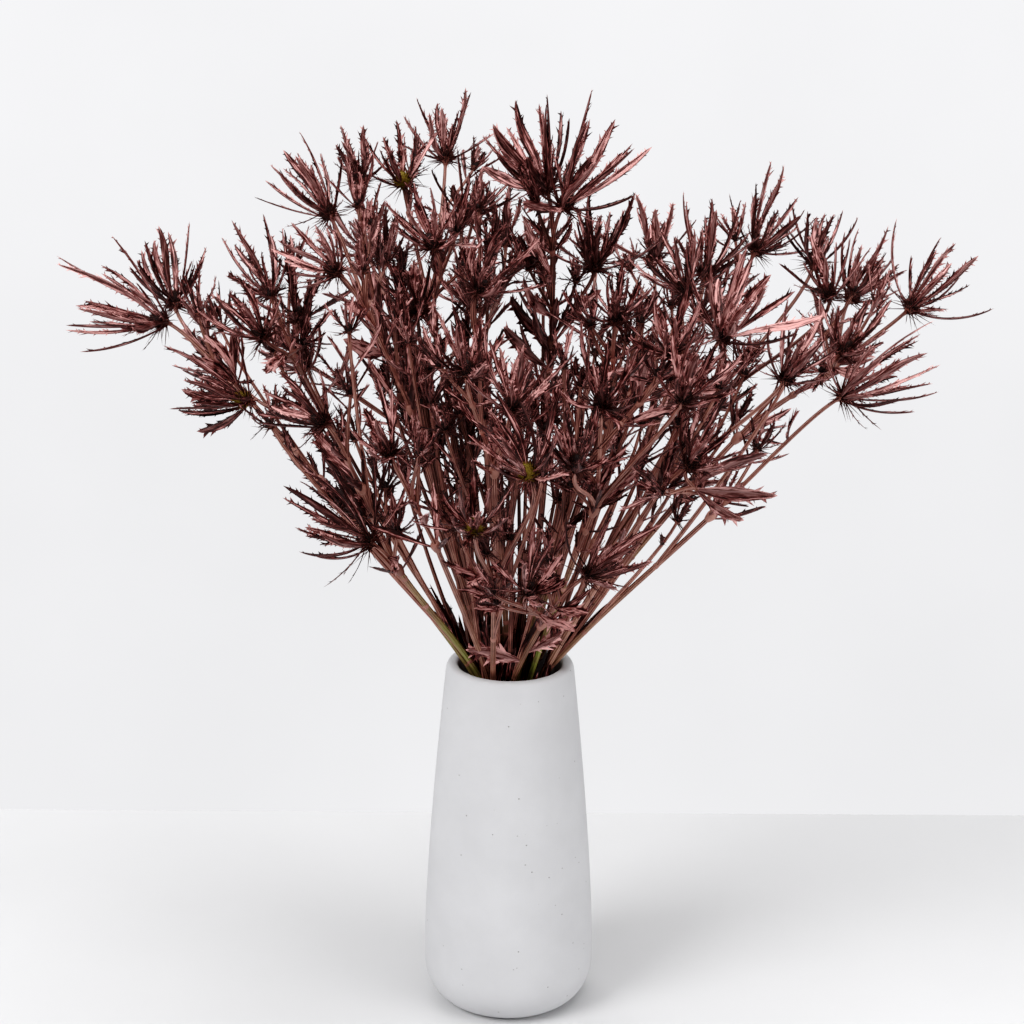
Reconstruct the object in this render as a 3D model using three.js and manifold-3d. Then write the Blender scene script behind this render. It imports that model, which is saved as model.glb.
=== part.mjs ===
/**
 * Sea holly in a vase: twenty-four dried, dyed stems of a narrow-bracted sea holly stand in a tapered vase.
 *
 * Every stem is grown as one piece, with its branches, leaf whorls, cones and ruffs of spiny bracts, so each
 * one is a single solid. The ruffs and whorls are placed by rule, and a blade that would meet another stem
 * turns, rises or shortens until it is clear.
 *
 * Units are millimetres, +Z is up, and the origin is the centre of the vase's underside.
 */
import * as THREE from 'three';
import { mergeVertices } from 'three/addons/utils/BufferGeometryUtils.js';
import Module from 'manifold-3d';

// ---- Vase ----
const VASE_HEIGHT = 240;
const MOUTH_RADIUS = 41.5;
const BELLY_RADIUS = 56.7;
const BELLY_TOP = 42;
const TAPER_POWER = 1.4;
const HEEL_HEIGHT = 27;
const FLAT_RADIUS = 36;
const WALL = 8;
const FLOOR = 12;
const LIP_ROUND = 3;
const VASE_SIDES = 30;
const LIP_SIDES = 16;

// ---- Stems ----
const FOOT_HEIGHT = 16;
const FOOT_SPREAD = 0.95;
const WAIST_HEIGHT = 140;
const WAIST_SPREAD = 0.82;
const LIP_LEAN = 0.75;
const STEM_SIDES = 5;
const STEM_STEP = 78;
const STEM_RADIUS = { foot: 2.3, top: 1.5 };
const BRANCH_SIDES = 4;
const BRANCH_RADIUS = { root: 1.35, top: 1.1 };
const BRANCH_STEPS = 3;
// How far a branch follows its stem as it leaves, and the pull of its head's facing as it arrives.
const BRANCH_FOLLOW = 0.4;
const BRANCH_ARRIVAL = 0.55;

// ---- Blades ----
// Shares of the length, and of the half width on either edge: each edge has one tooth, and they alternate.
const SPREAD_STATIONS = [
  { share: 0.3, left: 0.6, right: 0.55, keel: 1 },
  { share: 0.54, left: 1.75, right: 0.95, keel: 0.8 },
  { share: 0.76, left: 0.75, right: 1.6, keel: 0.6 },
];
const STEEP_STATIONS = [
  { share: 0.42, left: 1.75, right: 0.85, keel: 0.9 },
  { share: 0.7, left: 0.7, right: 1.6, keel: 0.7 },
];
const TOOTH_FROM = 1.5;
const TOOTH_FORWARD = 0.07;
// Half widths that keep a blade clear of its neighbours, at its stations and its tip.
const BLADE_REACH = [0.5, 1.1, 1.5, 1.2, 0.2];
const REACH_SHARES = [0, 0.28, 0.52, 0.76, 1];
const CLEARANCE = 0.5;
// What a blade tries in turn: degrees round the stalk, degrees of lean, and a share of its length.
const BLADE_TRIES = [
  [0, 0, 1], [14, 0, 1], [-14, 0, 1], [0, -12, 1], [0, 12, 1], [20, -14, 1], [-20, -14, 1],
  [0, -26, 1], [18, 16, 1], [-18, 16, 1], [0, 0, 0.8], [14, -10, 0.8], [-14, -10, 0.8], [0, -26, 0.8],
  [24, 0, 0.7], [-24, 0, 0.7], [0, 0, 0.6], [0, -26, 0.6], [14, 12, 0.6], [-14, 12, 0.6],
];

// ---- Heads: a cone in a ruff of spiny bracts ----
// A core has rings of [height, radius] up its axis and a top. Blades grow from the facets of its bands.
const CONE = { rings: [[-2, 2.8], [2.5, 4.9], [6.5, 3.9]], top: 10, radius: 4.9 };
const OUTER_BLADE = { halfWidth: 2.1, keel: 1.4, rootOut: 3.6, stations: SPREAD_STATIONS };
const INNER_BLADE = { ...OUTER_BLADE, stations: STEEP_STATIONS };
const RUFF = { sides: 4, longSides: 5, longLength: 58 };
const OUTER_BRACT = { lean: 50, leanJitter: 34, curl: 32, curlJitter: 44 };
const INNER_BRACT = { lean: 22, leanJitter: 24, curl: 20, curlJitter: 34 };
const BRACT_LENGTH = { least: 0.64, jitter: 0.44 };
// Blades reach for the light: the share of lean and length that one on the underside loses.
const UNDERSIDE = { lean: 0.42, length: 0.25 };
const AZIMUTH_JITTER = 22;

// ---- Leaf whorls, on a swollen collar where a stem forks ----
const COLLAR = { rings: [[-3.5, 2.6], [2, 3.4]], top: 4 };
const LEAF = { halfWidth: 2.6, keel: 1.4, rootOut: 2.4, stations: STEEP_STATIONS };
const WHORL = { lean: 38, leanJitter: 28, curl: 14, curlJitter: 30, length: 28, lengthJitter: 20 };
const WHORL_LEAVES = 3;

// ---- The stems, by hand: where each passes the lip, forks, and carries its heads ----
// A head has the fork that it grows from, its place, the way it faces and the length of its bracts.
const STEMS = [
  {
    name: 'stem_far_left', lip: [-28, -6], forks: [[-120, -25, 370], [-175, -10, 430]],
    heads: [
      { fork: 1, at: [-215, -20, 470], faces: [-0.92, -0.25, 0.36], bract: 72 },
      { fork: 1, at: [-215, 30, 470], faces: [-0.15, 0.2, 1], bract: 52 },
      { fork: 1, at: [-160, -60, 430], faces: [-0.9, -0.2, 0.35], bract: 52 },
    ],
  },
  {
    name: 'stem_low_left', lip: [-22, -17], forks: [[-70, -50, 320], [-90, -90, 385]],
    heads: [
      { fork: 0, at: [-85, -90, 350], faces: [-0.8, -0.3, 0.55], bract: 70 },
      { fork: 0, at: [-90, -40, 350], faces: [-0.6, 0.5, 0.5], bract: 44 },
      { fork: 1, at: [-110, -110, 430], faces: [-0.7, -0.4, 0.6], bract: 46 },
    ],
  },
  {
    name: 'stem_left_fan', lip: [-28, 6], forks: [[-95, 15, 350], [-135, 10, 435]],
    heads: [
      { fork: 1, at: [-155, 40, 475], faces: [-0.45, 0.2, 0.8], bract: 46 },
      { fork: 1, at: [-150, -60, 470], faces: [-0.5, -0.4, 0.7], bract: 48 },
      { fork: 1, at: [-135, 10, 465], faces: [0.1, -0.2, 1], bract: 38 },
    ],
  },
  {
    name: 'stem_high_left', lip: [-18, 2], forks: [[-70, 10, 415], [-85, 0, 460]],
    heads: [
      { fork: 1, at: [-115, 20, 530], faces: [-0.5, 0.1, 0.8], bract: 54 },
      { fork: 1, at: [-100, 90, 540], faces: [-0.1, 0.3, 0.9], bract: 34 },
    ],
  },
  {
    name: 'stem_high_inner_left', lip: [-9, 9], forks: [[-50, 30, 455]],
    heads: [
      { fork: 0, at: [-70, 50, 545], faces: [-0.1, -0.5, 0.8], bract: 44 },
      { fork: 0, at: [-45, 120, 550], faces: [0, 0.25, 0.95], bract: 46 },
      { fork: 0, at: [-45, -110, 535], faces: [-0.3, -0.45, 0.8], bract: 42 },
    ],
  },
  {
    name: 'stem_inner_left', lip: [-18, 16], forks: [[-55, 60, 385]],
    heads: [
      { fork: 0, at: [-85, 80, 490], faces: [0, 0.2, 1], bract: 38 },
      { fork: 0, at: [-60, 10, 470], faces: [-0.1, -0.35, 0.9], bract: 40 },
      { fork: 0, at: [-100, 150, 480], faces: [-0.4, 0.7, 0.6], bract: 46 },
    ],
  },
  {
    name: 'stem_middle_left', lip: [-5, -3], forks: [[-20, -10, 440]],
    heads: [
      { fork: 0, at: [-30, 40, 525], faces: [0.4, 0.1, 0.9], bract: 42 },
      { fork: 0, at: [-5, 90, 500], faces: [-0.1, 0.3, 0.95], bract: 38 },
    ],
  },
  {
    name: 'stem_tallest', lip: [5, 4], forks: [[25, 0, 455]],
    heads: [
      { fork: 0, at: [20, -30, 555], faces: [-0.35, -0.1, 0.9], bract: 60 },
      { fork: 0, at: [30, -60, 550], faces: [0.5, -0.2, 0.82], bract: 68 },
      { fork: 0, at: [50, -20, 505], faces: [0, -0.2, 1], bract: 48 },
    ],
  },
  {
    name: 'stem_inner_right', lip: [8, -8], forks: [[60, -40, 410]],
    heads: [
      { fork: 0, at: [105, -40, 495], faces: [-0.3, -0.2, 0.9], bract: 46 },
      { fork: 0, at: [60, -100, 490], faces: [0.1, -0.3, 0.9], bract: 38 },
    ],
  },
  {
    name: 'stem_high_right', lip: [15, 1], forks: [[90, 20, 390]],
    heads: [
      { fork: 0, at: [95, 110, 485], faces: [0, 0.3, 0.95], bract: 42 },
      { fork: 0, at: [125, 60, 485], faces: [0.1, 0.1, 1], bract: 52 },
      { fork: 0, at: [120, -120, 485], faces: [0.35, -0.4, 0.8], bract: 60 },
    ],
  },
  {
    name: 'stem_right_fan', lip: [20, 12], forks: [[125, 50, 395]],
    heads: [
      { fork: 0, at: [160, 90, 495], faces: [0.45, 0.2, 0.85], bract: 58 },
      { fork: 0, at: [200, 100, 485], faces: [0.2, 0.25, 0.9], bract: 42 },
      { fork: 0, at: [200, 20, 480], faces: [-0.2, 0, 0.95], bract: 38 },
    ],
  },
  {
    name: 'stem_far_right', lip: [27, 4], forks: [[145, 10, 390], [200, 5, 435]],
    heads: [
      { fork: 1, at: [220, 60, 470], faces: [0.5, 0.1, 0.75], bract: 50 },
      { fork: 1, at: [250, 10, 475], faces: [0.55, -0.15, 0.7], bract: 57 },
      { fork: 1, at: [200, -50, 460], faces: [0.5, -0.2, 0.8], bract: 42 },
    ],
  },
  {
    name: 'stem_low_right', lip: [27, -8], forks: [[125, -45, 355]],
    heads: [
      { fork: 0, at: [200, -60, 435], faces: [0.88, -0.2, 0.55], bract: 64 },
      { fork: 0, at: [105, -110, 405], faces: [0.5, -0.4, 0.7], bract: 44 },
    ],
  },
  {
    name: 'stem_front_left', lip: [-8, -14], forks: [[-10, -105, 400]],
    heads: [
      { fork: 0, at: [0, -190, 460], faces: [0.15, -0.3, 0.9], bract: 50 },
      { fork: 0, at: [-25, -170, 475], faces: [0, -0.4, 0.9], bract: 44 },
    ],
  },
  {
    name: 'stem_front_right', lip: [14, -20], forks: [[50, -85, 370]],
    heads: [
      { fork: 0, at: [95, -170, 460], faces: [0.3, -0.45, 0.8], bract: 42 },
      { fork: 0, at: [50, -180, 460], faces: [0.05, -0.5, 0.85], bract: 50 },
      { fork: 0, at: [35, -200, 430], faces: [0.1, -0.45, 0.85], bract: 40 },
    ],
  },
  {
    name: 'stem_front_middle', lip: [-11, -26], forks: [[-10, -85, 320]],
    heads: [
      { fork: 0, at: [10, -200, 425], faces: [-0.35, -0.5, 0.8], bract: 52 },
      { fork: 0, at: [-20, -190, 390], faces: [0, -0.45, 0.9], bract: 40 },
    ],
  },
  {
    name: 'stem_front_low', lip: [3, -27], forks: [[20, -52, 285]],
    heads: [
      { fork: 0, at: [10, -150, 340], faces: [0.3, -0.5, 0.8], bract: 44 },
      { fork: 0, at: [45, -120, 340], faces: [0.75, -0.2, 0.6], bract: 50 },
    ],
  },
  {
    name: 'stem_back_left', lip: [-8, 23], forks: [[-60, 90, 360]],
    heads: [
      { fork: 0, at: [-30, 185, 440], faces: [-0.1, 0.9, 0.4], bract: 48 },
      { fork: 0, at: [-140, 120, 410], faces: [-0.7, 0.6, 0.3], bract: 48 },
    ],
  },
  {
    name: 'stem_back_right', lip: [9, 23], forks: [[45, 90, 355]],
    heads: [
      { fork: 0, at: [60, 180, 470], faces: [0.2, 0.8, 0.6], bract: 46 },
      { fork: 0, at: [130, 160, 435], faces: [0.6, 0.7, 0.35], bract: 50 },
      { fork: 0, at: [20, 150, 385], faces: [0.1, 0.95, 0.25], bract: 44 },
    ],
  },
  {
    name: 'stem_single_low_left', lip: [-15, -21], forks: [[-45, -95, 350]],
    heads: [{ fork: 0, at: [-70, -140, 420], faces: [-0.3, -0.4, 0.85], bract: 40 }],
  },
  {
    name: 'stem_single_high_left', lip: [-16, -8], forks: [[-62, -38, 420]],
    heads: [{ fork: 0, at: [-105, -60, 510], faces: [-0.7, -0.3, 0.6], bract: 46 }],
  },
  {
    name: 'stem_single_middle', lip: [-1, -12], forks: [[-12, -52, 420]],
    heads: [{ fork: 0, at: [-20, -90, 505], faces: [0.5, -0.4, 0.75], bract: 50 }],
  },
  {
    name: 'stem_single_inner_right', lip: [6, -17], forks: [[42, -92, 395]],
    heads: [{ fork: 0, at: [90, -140, 480], faces: [0, -0.5, 0.85], bract: 40 }],
  },
  {
    name: 'stem_single_right', lip: [23, -16], forks: [[90, -75, 380]],
    heads: [{ fork: 0, at: [160, -100, 455], faces: [0.4, -0.3, 0.85], bract: 48 }],
  },
];

// ---- Finishes ----
const VASE_FINISH = { color: 0xd9dadb, roughness: 0.9, metalness: 0 };
const STEM_FINISH = { color: 0x6b3a38, roughness: 0.65, metalness: 0 };

const wasm = await Module();
wasm.setup();

const degrees = THREE.MathUtils.degToRad;
const mix = THREE.MathUtils.lerp;
const vector = (list) => new THREE.Vector3(...list);

/** A seeded source of numbers from 0 to 1. */
function seeded(seed) {
  let state = seed >>> 0;
  return () => {
    state = (state + 0x6d2b79f5) >>> 0;
    let mixed = Math.imul(state ^ (state >>> 15), state | 1);
    mixed ^= mixed + Math.imul(mixed ^ (mixed >>> 7), mixed | 61);
    return ((mixed ^ (mixed >>> 14)) >>> 0) / 4294967296;
  };
}

/** A closed solid through rings of points. */
function loft(rings) {
  const points = rings.flat();
  const faces = [];
  const count = rings[0].length;
  const last = (rings.length - 1) * count;
  for (let i = 1; i + 1 < count; i += 1) {
    faces.push(0, i, i + 1);
    faces.push(last, last + i + 1, last + i);
  }
  for (let start = 0; start < last; start += count) {
    for (let i = 0; i < count; i += 1) {
      const j = (i + 1) % count;
      faces.push(start + i, start + count + j, start + j);
      faces.push(start + i, start + count + i, start + count + j);
    }
  }
  const geometry = new THREE.BufferGeometry();
  geometry.setAttribute('position', new THREE.Float32BufferAttribute(points.flatMap((p) => p.toArray()), 3));
  geometry.setIndex(faces);
  return geometry;
}

/** The signed volume of a closed geometry, negative where its faces point in. */
function signedVolume(geometry) {
  const position = geometry.getAttribute('position');
  const index = geometry.getIndex();
  const corners = [new THREE.Vector3(), new THREE.Vector3(), new THREE.Vector3()];
  let volume = 0;
  for (let i = 0; i < index.count; i += 3) {
    corners.forEach((corner, k) => corner.fromBufferAttribute(position, index.getX(i + k)));
    volume += corners[0].dot(corners[1].clone().cross(corners[2])) / 6;
  }
  return volume;
}

/** A solid for joining, from a closed geometry whose faces may point either way. */
function toSolid(geometry) {
  const bare = geometry.clone();
  bare.deleteAttribute('normal');
  bare.deleteAttribute('uv');
  const merged = mergeVertices(bare, 1e-4);
  const triVerts = Uint32Array.from(merged.getIndex().array);
  if (signedVolume(merged) < 0) {
    for (let i = 0; i < triVerts.length; i += 3) {
      [triVerts[i + 1], triVerts[i + 2]] = [triVerts[i + 2], triVerts[i + 1]];
    }
  }
  const vertProperties = Float32Array.from(merged.getAttribute('position').array);
  return new wasm.Manifold(new wasm.Mesh({ numProp: 3, vertProperties, triVerts }));
}

/** A geometry from a joined solid. */
function toGeometry(solid) {
  const { vertProperties, triVerts } = solid.getMesh();
  const geometry = new THREE.BufferGeometry();
  geometry.setAttribute('position', new THREE.Float32BufferAttribute(vertProperties, 3));
  geometry.setIndex([...triVerts]);
  const faceted = geometry.toNonIndexed();
  faceted.computeVertexNormals();
  return faceted;
}

/** One solid from many: joined, with loose scraps and sealed hollows left out. */
function fuse(geometries) {
  const joined = geometries.map(toSolid).reduce((whole, piece) => whole.add(piece));
  const bodies = joined.decompose();
  return bodies.reduce((most, body) => (body.volume() > most.volume() ? body : most));
}

/** Two directions square to an axis and to each other. */
function across(axis) {
  const reference = Math.abs(axis.z) < 0.9 ? new THREE.Vector3(0, 0, 1) : new THREE.Vector3(1, 0, 0);
  const first = reference.cross(axis).normalize();
  return [first, axis.clone().cross(first)];
}

/** The direction out from an axis at an angle round it. */
function radialAt(axis, angle) {
  const [first, second] = across(axis);
  return first.multiplyScalar(Math.cos(angle)).addScaledVector(second, Math.sin(angle));
}

/** A point of a cubic between two points with their tangents. */
function hermite(from, leaving, to, arriving, t) {
  const point = from.clone().multiplyScalar(2 * t ** 3 - 3 * t ** 2 + 1);
  point.addScaledVector(leaving, t ** 3 - 2 * t ** 2 + t);
  point.addScaledVector(to, -2 * t ** 3 + 3 * t ** 2);
  return point.addScaledVector(arriving, t ** 3 - t ** 2);
}

/** A round stalk along a line of points, with a radius at each. */
function stalk(points, radii, sides) {
  let [side, other] = across(points[1].clone().sub(points[0]).normalize());
  return loft(points.map((point, i) => {
    const ahead = points[Math.min(i + 1, points.length - 1)];
    const behind = points[Math.max(i - 1, 0)];
    const tangent = ahead.clone().sub(behind).normalize();
    side = side.clone().addScaledVector(tangent, -side.dot(tangent)).normalize();
    other = tangent.clone().cross(side);
    return Array.from({ length: sides }, (_, k) => {
      const angle = (2 * Math.PI * k) / sides;
      const rim = point.clone().addScaledVector(side, radii[i] * Math.cos(angle));
      return rim.addScaledVector(other, radii[i] * Math.sin(angle));
    });
  }));
}

/** What a piece keeps clear: a line of points with radii, the ball round them and what it joins. */
function reachOf(joined, points, radii) {
  const box = new THREE.Box3().setFromPoints(points);
  const centre = box.getCenter(new THREE.Vector3());
  const far = Math.max(...points.map((point) => point.distanceTo(centre)));
  return { joined, points, radii, centre, ball: far + Math.max(...radii) };
}

/** The least distance between two straight stretches. */
function stretchDistance(a0, a1, b0, b1) {
  const along = a1.clone().sub(a0);
  const other = b1.clone().sub(b0);
  const between = a0.clone().sub(b0);
  const a = along.dot(along);
  const e = other.dot(other);
  const f = other.dot(between);
  const c = along.dot(between);
  const b = along.dot(other);
  const slant = a * e - b * b;
  let s = slant > 1e-9 ? THREE.MathUtils.clamp((b * f - c * e) / slant, 0, 1) : 0;
  let t = (b * s + f) / e;
  if (t < 0) {
    t = 0;
    s = THREE.MathUtils.clamp(-c / a, 0, 1);
  } else if (t > 1) {
    t = 1;
    s = THREE.MathUtils.clamp((b - c) / a, 0, 1);
  }
  return a0.clone().addScaledVector(along, s).distanceTo(b0.clone().addScaledVector(other, t));
}

/** Whether two reaches stay clear of each other, or are of pieces that join. */
function isClear(one, two) {
  if (one.joined.some((name) => two.joined.includes(name))) {
    return true;
  }
  if (one.centre.distanceTo(two.centre) - one.ball - two.ball > CLEARANCE) {
    return true;
  }
  for (let i = 0; i + 1 < one.points.length; i += 1) {
    for (let j = 0; j + 1 < two.points.length; j += 1) {
      const apart = stretchDistance(one.points[i], one.points[i + 1], two.points[j], two.points[j + 1]);
      const radii = Math.max(one.radii[i], one.radii[i + 1]) + Math.max(two.radii[j], two.radii[j + 1]);
      if (apart - radii <= CLEARANCE) {
        return false;
      }
    }
  }
  return true;
}

/** A point at a share of a blade, which bows from one angle off its axis to another. */
function bowPoint(blade, share) {
  const turn = blade.endLean - blade.startLean;
  const lean = blade.startLean + turn * share;
  const up = (Math.sin(lean) - Math.sin(blade.startLean)) / turn;
  const out = (Math.cos(blade.startLean) - Math.cos(lean)) / turn;
  const point = blade.root.clone().addScaledVector(blade.axis, up * blade.length);
  return point.addScaledVector(blade.radial, out * blade.length);
}

/** The first try of a blade that stays clear of what it doesn't join, or null. */
function placeBlade(reaches, joined, blade) {
  for (const [turned, leaned, kept] of BLADE_TRIES) {
    const radial = radialAt(blade.axis, blade.azimuth + degrees(turned));
    const tried = {
      ...blade,
      radial,
      root: blade.root.clone().addScaledVector(radial, blade.rootOut),
      startLean: blade.startLean + degrees(leaned),
      endLean: blade.endLean + degrees(leaned),
      length: blade.length * kept,
    };
    const points = REACH_SHARES.map((share) => bowPoint(tried, share));
    const reach = reachOf([joined], points, BLADE_REACH.map((factor) => factor * blade.halfWidth));
    if (reaches.every((other) => isClear(reach, other))) {
      reaches.push(reach);
      return tried;
    }
  }
  return null;
}

/** The rings of a blade and its tip: a flat face toward its axis, a keel behind, a tooth on either edge. */
function bladeRings(blade) {
  const side = blade.axis.clone().cross(blade.radial).normalize();
  const rings = blade.stations.map((station) => {
    const point = bowPoint(blade, station.share);
    const lean = mix(blade.startLean, blade.endLean, station.share);
    const tangent = blade.axis.clone().multiplyScalar(Math.cos(lean));
    tangent.addScaledVector(blade.radial, Math.sin(lean));
    const back = side.clone().cross(tangent).normalize();
    const edge = (factor, sign) => {
      const tip = point.clone().addScaledVector(side, sign * factor * blade.halfWidth);
      return tip.addScaledVector(tangent, factor > TOOTH_FROM ? TOOTH_FORWARD * blade.length : 0);
    };
    const keel = point.clone().addScaledVector(back, station.keel * blade.keel);
    return [keel, edge(station.left, 1), edge(station.right, -1)];
  });
  return [...rings, [bowPoint(blade, 1)]];
}

/** The angle round its axis of a core's facet, which points down, in a band. */
const facetAngle = (core, band, i) => core.phase + (2 * Math.PI * (i + band / 2)) / core.sides;

/**
 * A core with blades that grow out of its facets, as one closed geometry.
 * Each band of the core has a facet for each side, with one corner down, and a blade takes its place.
 */
function rosette(core, blades) {
  const [first, second] = across(core.axis);
  const { sides } = core;
  const points = [];
  const faces = [];
  core.rings.forEach(([height, radius], ring) => {
    for (let i = 0; i < sides; i += 1) {
      const angle = facetAngle(core, ring % 2, i);
      const point = core.at.clone().addScaledVector(core.axis, height);
      point.addScaledVector(first, radius * Math.cos(angle));
      points.push(point.addScaledVector(second, radius * Math.sin(angle)));
    }
  });
  const corner = (ring, i) => ring * sides + ((i + sides) % sides);
  for (let i = 1; i + 1 < sides; i += 1) {
    faces.push([0, i + 1, i]);
  }
  for (let band = 0; band + 1 < core.rings.length; band += 1) {
    for (let i = 0; i < sides; i += 1) {
      // The upper ring of an even band stands half a side ahead, and of an odd band half a side behind.
      const right = corner(band + 1, i + band % 2);
      const left = corner(band + 1, i + band % 2 - 1);
      faces.push([corner(band, i), corner(band, i + 1), right]);
      const blade = blades.find((each) => each.band === band && each.facet === i);
      if (blade) {
        growBlade(points, faces, [corner(band, i), right, left], bladeRings(blade));
      } else {
        faces.push([corner(band, i), right, left]);
      }
    }
  }
  const last = core.rings.length - 1;
  const top = points.push(core.at.clone().addScaledVector(core.axis, core.top)) - 1;
  for (let i = 0; i < sides; i += 1) {
    faces.push([corner(last, i), corner(last, i + 1), top]);
  }
  const geometry = new THREE.BufferGeometry();
  geometry.setAttribute('position', new THREE.Float32BufferAttribute(points.flatMap((p) => p.toArray()), 3));
  geometry.setIndex(faces.flat());
  return geometry;
}

/** Adds a blade's faces, from the three corners of its facet through its rings to its tip. */
function growBlade(points, faces, facet, rings) {
  let below = facet;
  rings.forEach((ring) => {
    const next = ring.map((point) => points.push(point) - 1);
    for (let i = 0; i < 3; i += 1) {
      const j = (i + 1) % 3;
      if (next.length === 1) {
        faces.push([below[i], below[j], next[0]]);
      } else {
        faces.push([below[i], below[j], next[j]], [below[i], next[j], next[i]]);
      }
    }
    below = next;
  });
}

/** The vase's outer radius at a height. */
function vaseRadius(height) {
  if (height < HEEL_HEIGHT) {
    const below = 1 - height / HEEL_HEIGHT;
    return FLAT_RADIUS + (BELLY_RADIUS - FLAT_RADIUS) * Math.sqrt(1 - below ** 2);
  }
  const above = Math.max(0, (height - BELLY_TOP) / (VASE_HEIGHT - BELLY_TOP));
  return BELLY_RADIUS - (BELLY_RADIUS - MOUTH_RADIUS) * above ** TAPER_POWER;
}

/** The vase: a tapered shell with a rounded heel and lip, open at the top. */
function vaseGeometry() {
  const outerHeights = [0, 2, 8, 16, HEEL_HEIGHT, 70, 120, 165, 205, VASE_HEIGHT - LIP_ROUND];
  const innerHeights = [VASE_HEIGHT - LIP_ROUND, 170, 90, 24];
  const profile = [new THREE.Vector2(0, 0)];
  outerHeights.forEach((height) => profile.push(new THREE.Vector2(vaseRadius(height), height)));
  profile.push(new THREE.Vector2(MOUTH_RADIUS - LIP_ROUND, VASE_HEIGHT));
  profile.push(new THREE.Vector2(MOUTH_RADIUS - WALL + LIP_ROUND, VASE_HEIGHT));
  innerHeights.forEach((height) => profile.push(new THREE.Vector2(vaseRadius(height) - WALL, height)));
  profile.push(new THREE.Vector2(FLAT_RADIUS, FLOOR));
  profile.push(new THREE.Vector2(0, FLOOR));
  return new THREE.LatheGeometry(profile, VASE_SIDES).rotateX(Math.PI / 2);
}

/** What the vase's lip keeps clear: a ring as thick as its wall. */
function lipReach() {
  const radius = MOUTH_RADIUS - WALL / 2;
  const ring = Array.from({ length: LIP_SIDES + 1 }, (_, i) => {
    const angle = (2 * Math.PI * i) / LIP_SIDES;
    return new THREE.Vector3(radius * Math.cos(angle), radius * Math.sin(angle), VASE_HEIGHT - WALL / 2);
  });
  return reachOf(['vase'], ring, ring.map(() => WALL / 2 + 0.5));
}

/** The line of a main stem: from its foot, over the lip and through its forks, with its directions. */
function stemLine(stem) {
  const [x, y] = stem.lip;
  const stops = [
    new THREE.Vector3(x * FOOT_SPREAD, y * FOOT_SPREAD, FOOT_HEIGHT),
    new THREE.Vector3(x * WAIST_SPREAD, y * WAIST_SPREAD, WAIST_HEIGHT),
    new THREE.Vector3(x, y, VASE_HEIGHT),
    ...stem.forks.map(vector),
  ];
  const directions = stops.map((_, i) => {
    const ahead = stops[Math.min(i + 1, stops.length - 1)];
    return ahead.clone().sub(stops[Math.max(i - 1, 0)]).normalize();
  });
  const toFork = stops[3].clone().sub(stops[2]).normalize();
  directions[2].lerp(toFork, LIP_LEAN).normalize();
  const line = [stops[0]];
  for (let i = 0; i + 1 < stops.length; i += 1) {
    const length = stops[i].distanceTo(stops[i + 1]);
    const steps = Math.ceil(length / STEM_STEP);
    const leaving = directions[i].clone().multiplyScalar(length);
    const arriving = directions[i + 1].clone().multiplyScalar(length);
    for (let k = 1; k <= steps; k += 1) {
      line.push(hermite(stops[i], leaving, stops[i + 1], arriving, k / steps));
    }
  }
  return { line, forkDirections: directions.slice(3) };
}

/** The line of a branch from its fork to a head. */
function branchLine(fork, direction, at, faces) {
  const reach = at.clone().sub(fork);
  const length = reach.length();
  const leaving = reach.normalize().addScaledVector(direction, BRANCH_FOLLOW).normalize();
  const arriving = faces.clone().multiplyScalar(length * BRANCH_ARRIVAL);
  leaving.multiplyScalar(length);
  return Array.from({ length: BRANCH_STEPS + 1 }, (_, k) =>
    hermite(fork, leaving, at, arriving, k / BRANCH_STEPS));
}

/** Radii that run evenly along a line. */
function taper(from, to, count) {
  return Array.from({ length: count }, (_, i) => mix(from, to, i / (count - 1)));
}

/** What the pieces of one head share. */
const headName = (stem, i) => `${stem.name}_${i}`;

/** The bare stem with its branches and cones, and the reaches that they keep clear. */
function growStem(stem, owner) {
  const { line, forkDirections } = stemLine(stem);
  const radii = taper(STEM_RADIUS.foot, STEM_RADIUS.top, line.length);
  const geometries = [stalk(line, radii, STEM_SIDES)];
  const reaches = [reachOf([stem.name], line, radii)];
  stem.heads.forEach((head, i) => {
    const at = vector(head.at);
    const faces = vector(head.faces).normalize();
    const path = branchLine(vector(stem.forks[head.fork]), forkDirections[head.fork], at, faces);
    const sizes = taper(BRANCH_RADIUS.root, BRANCH_RADIUS.top, path.length);
    geometries.push(stalk(path, sizes, BRANCH_SIDES));
    reaches.push(reachOf([stem.name, headName(stem, i)], path, sizes));
    const top = at.clone().addScaledVector(faces, CONE.top * 0.8);
    reaches.push(reachOf([headName(stem, i)], [at, top], [CONE.radius, CONE.radius * 0.9]));
  });
  return { stem, owner, geometries, reaches, forkDirections };
}

/** The blades of a core, one for each facet of its bands, each as its kind says. */
function growBlades(reaches, joined, core, kinds, draw) {
  const blades = [];
  for (let band = 0; band + 1 < core.rings.length; band += 1) {
    const kind = kinds[band];
    const height = (core.rings[band][0] + core.rings[band + 1][0]) / 2;
    for (let facet = 0; facet < core.sides; facet += 1) {
      const azimuth = facetAngle(core, band, facet) + degrees((draw() - 0.5) * AZIMUTH_JITTER);
      const down = Math.max(0, -radialAt(core.axis, azimuth).z);
      const lean = (kind.lean + (draw() - 0.5) * kind.leanJitter) * (1 - UNDERSIDE.lean * down);
      const curl = kind.curl + (draw() - 0.5) * kind.curlJitter;
      const blade = placeBlade(reaches, joined, {
        ...kind.blade,
        band,
        facet,
        root: core.at.clone().addScaledVector(core.axis, height),
        axis: core.axis,
        azimuth,
        startLean: degrees(lean + curl * 0.4),
        endLean: degrees(lean - curl * 0.6),
        length: (kind.length + kind.lengthJitter * draw()) * (1 - UNDERSIDE.length * down),
      });
      if (blade) {
        blades.push(blade);
      }
    }
  }
  return blades;
}

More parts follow.
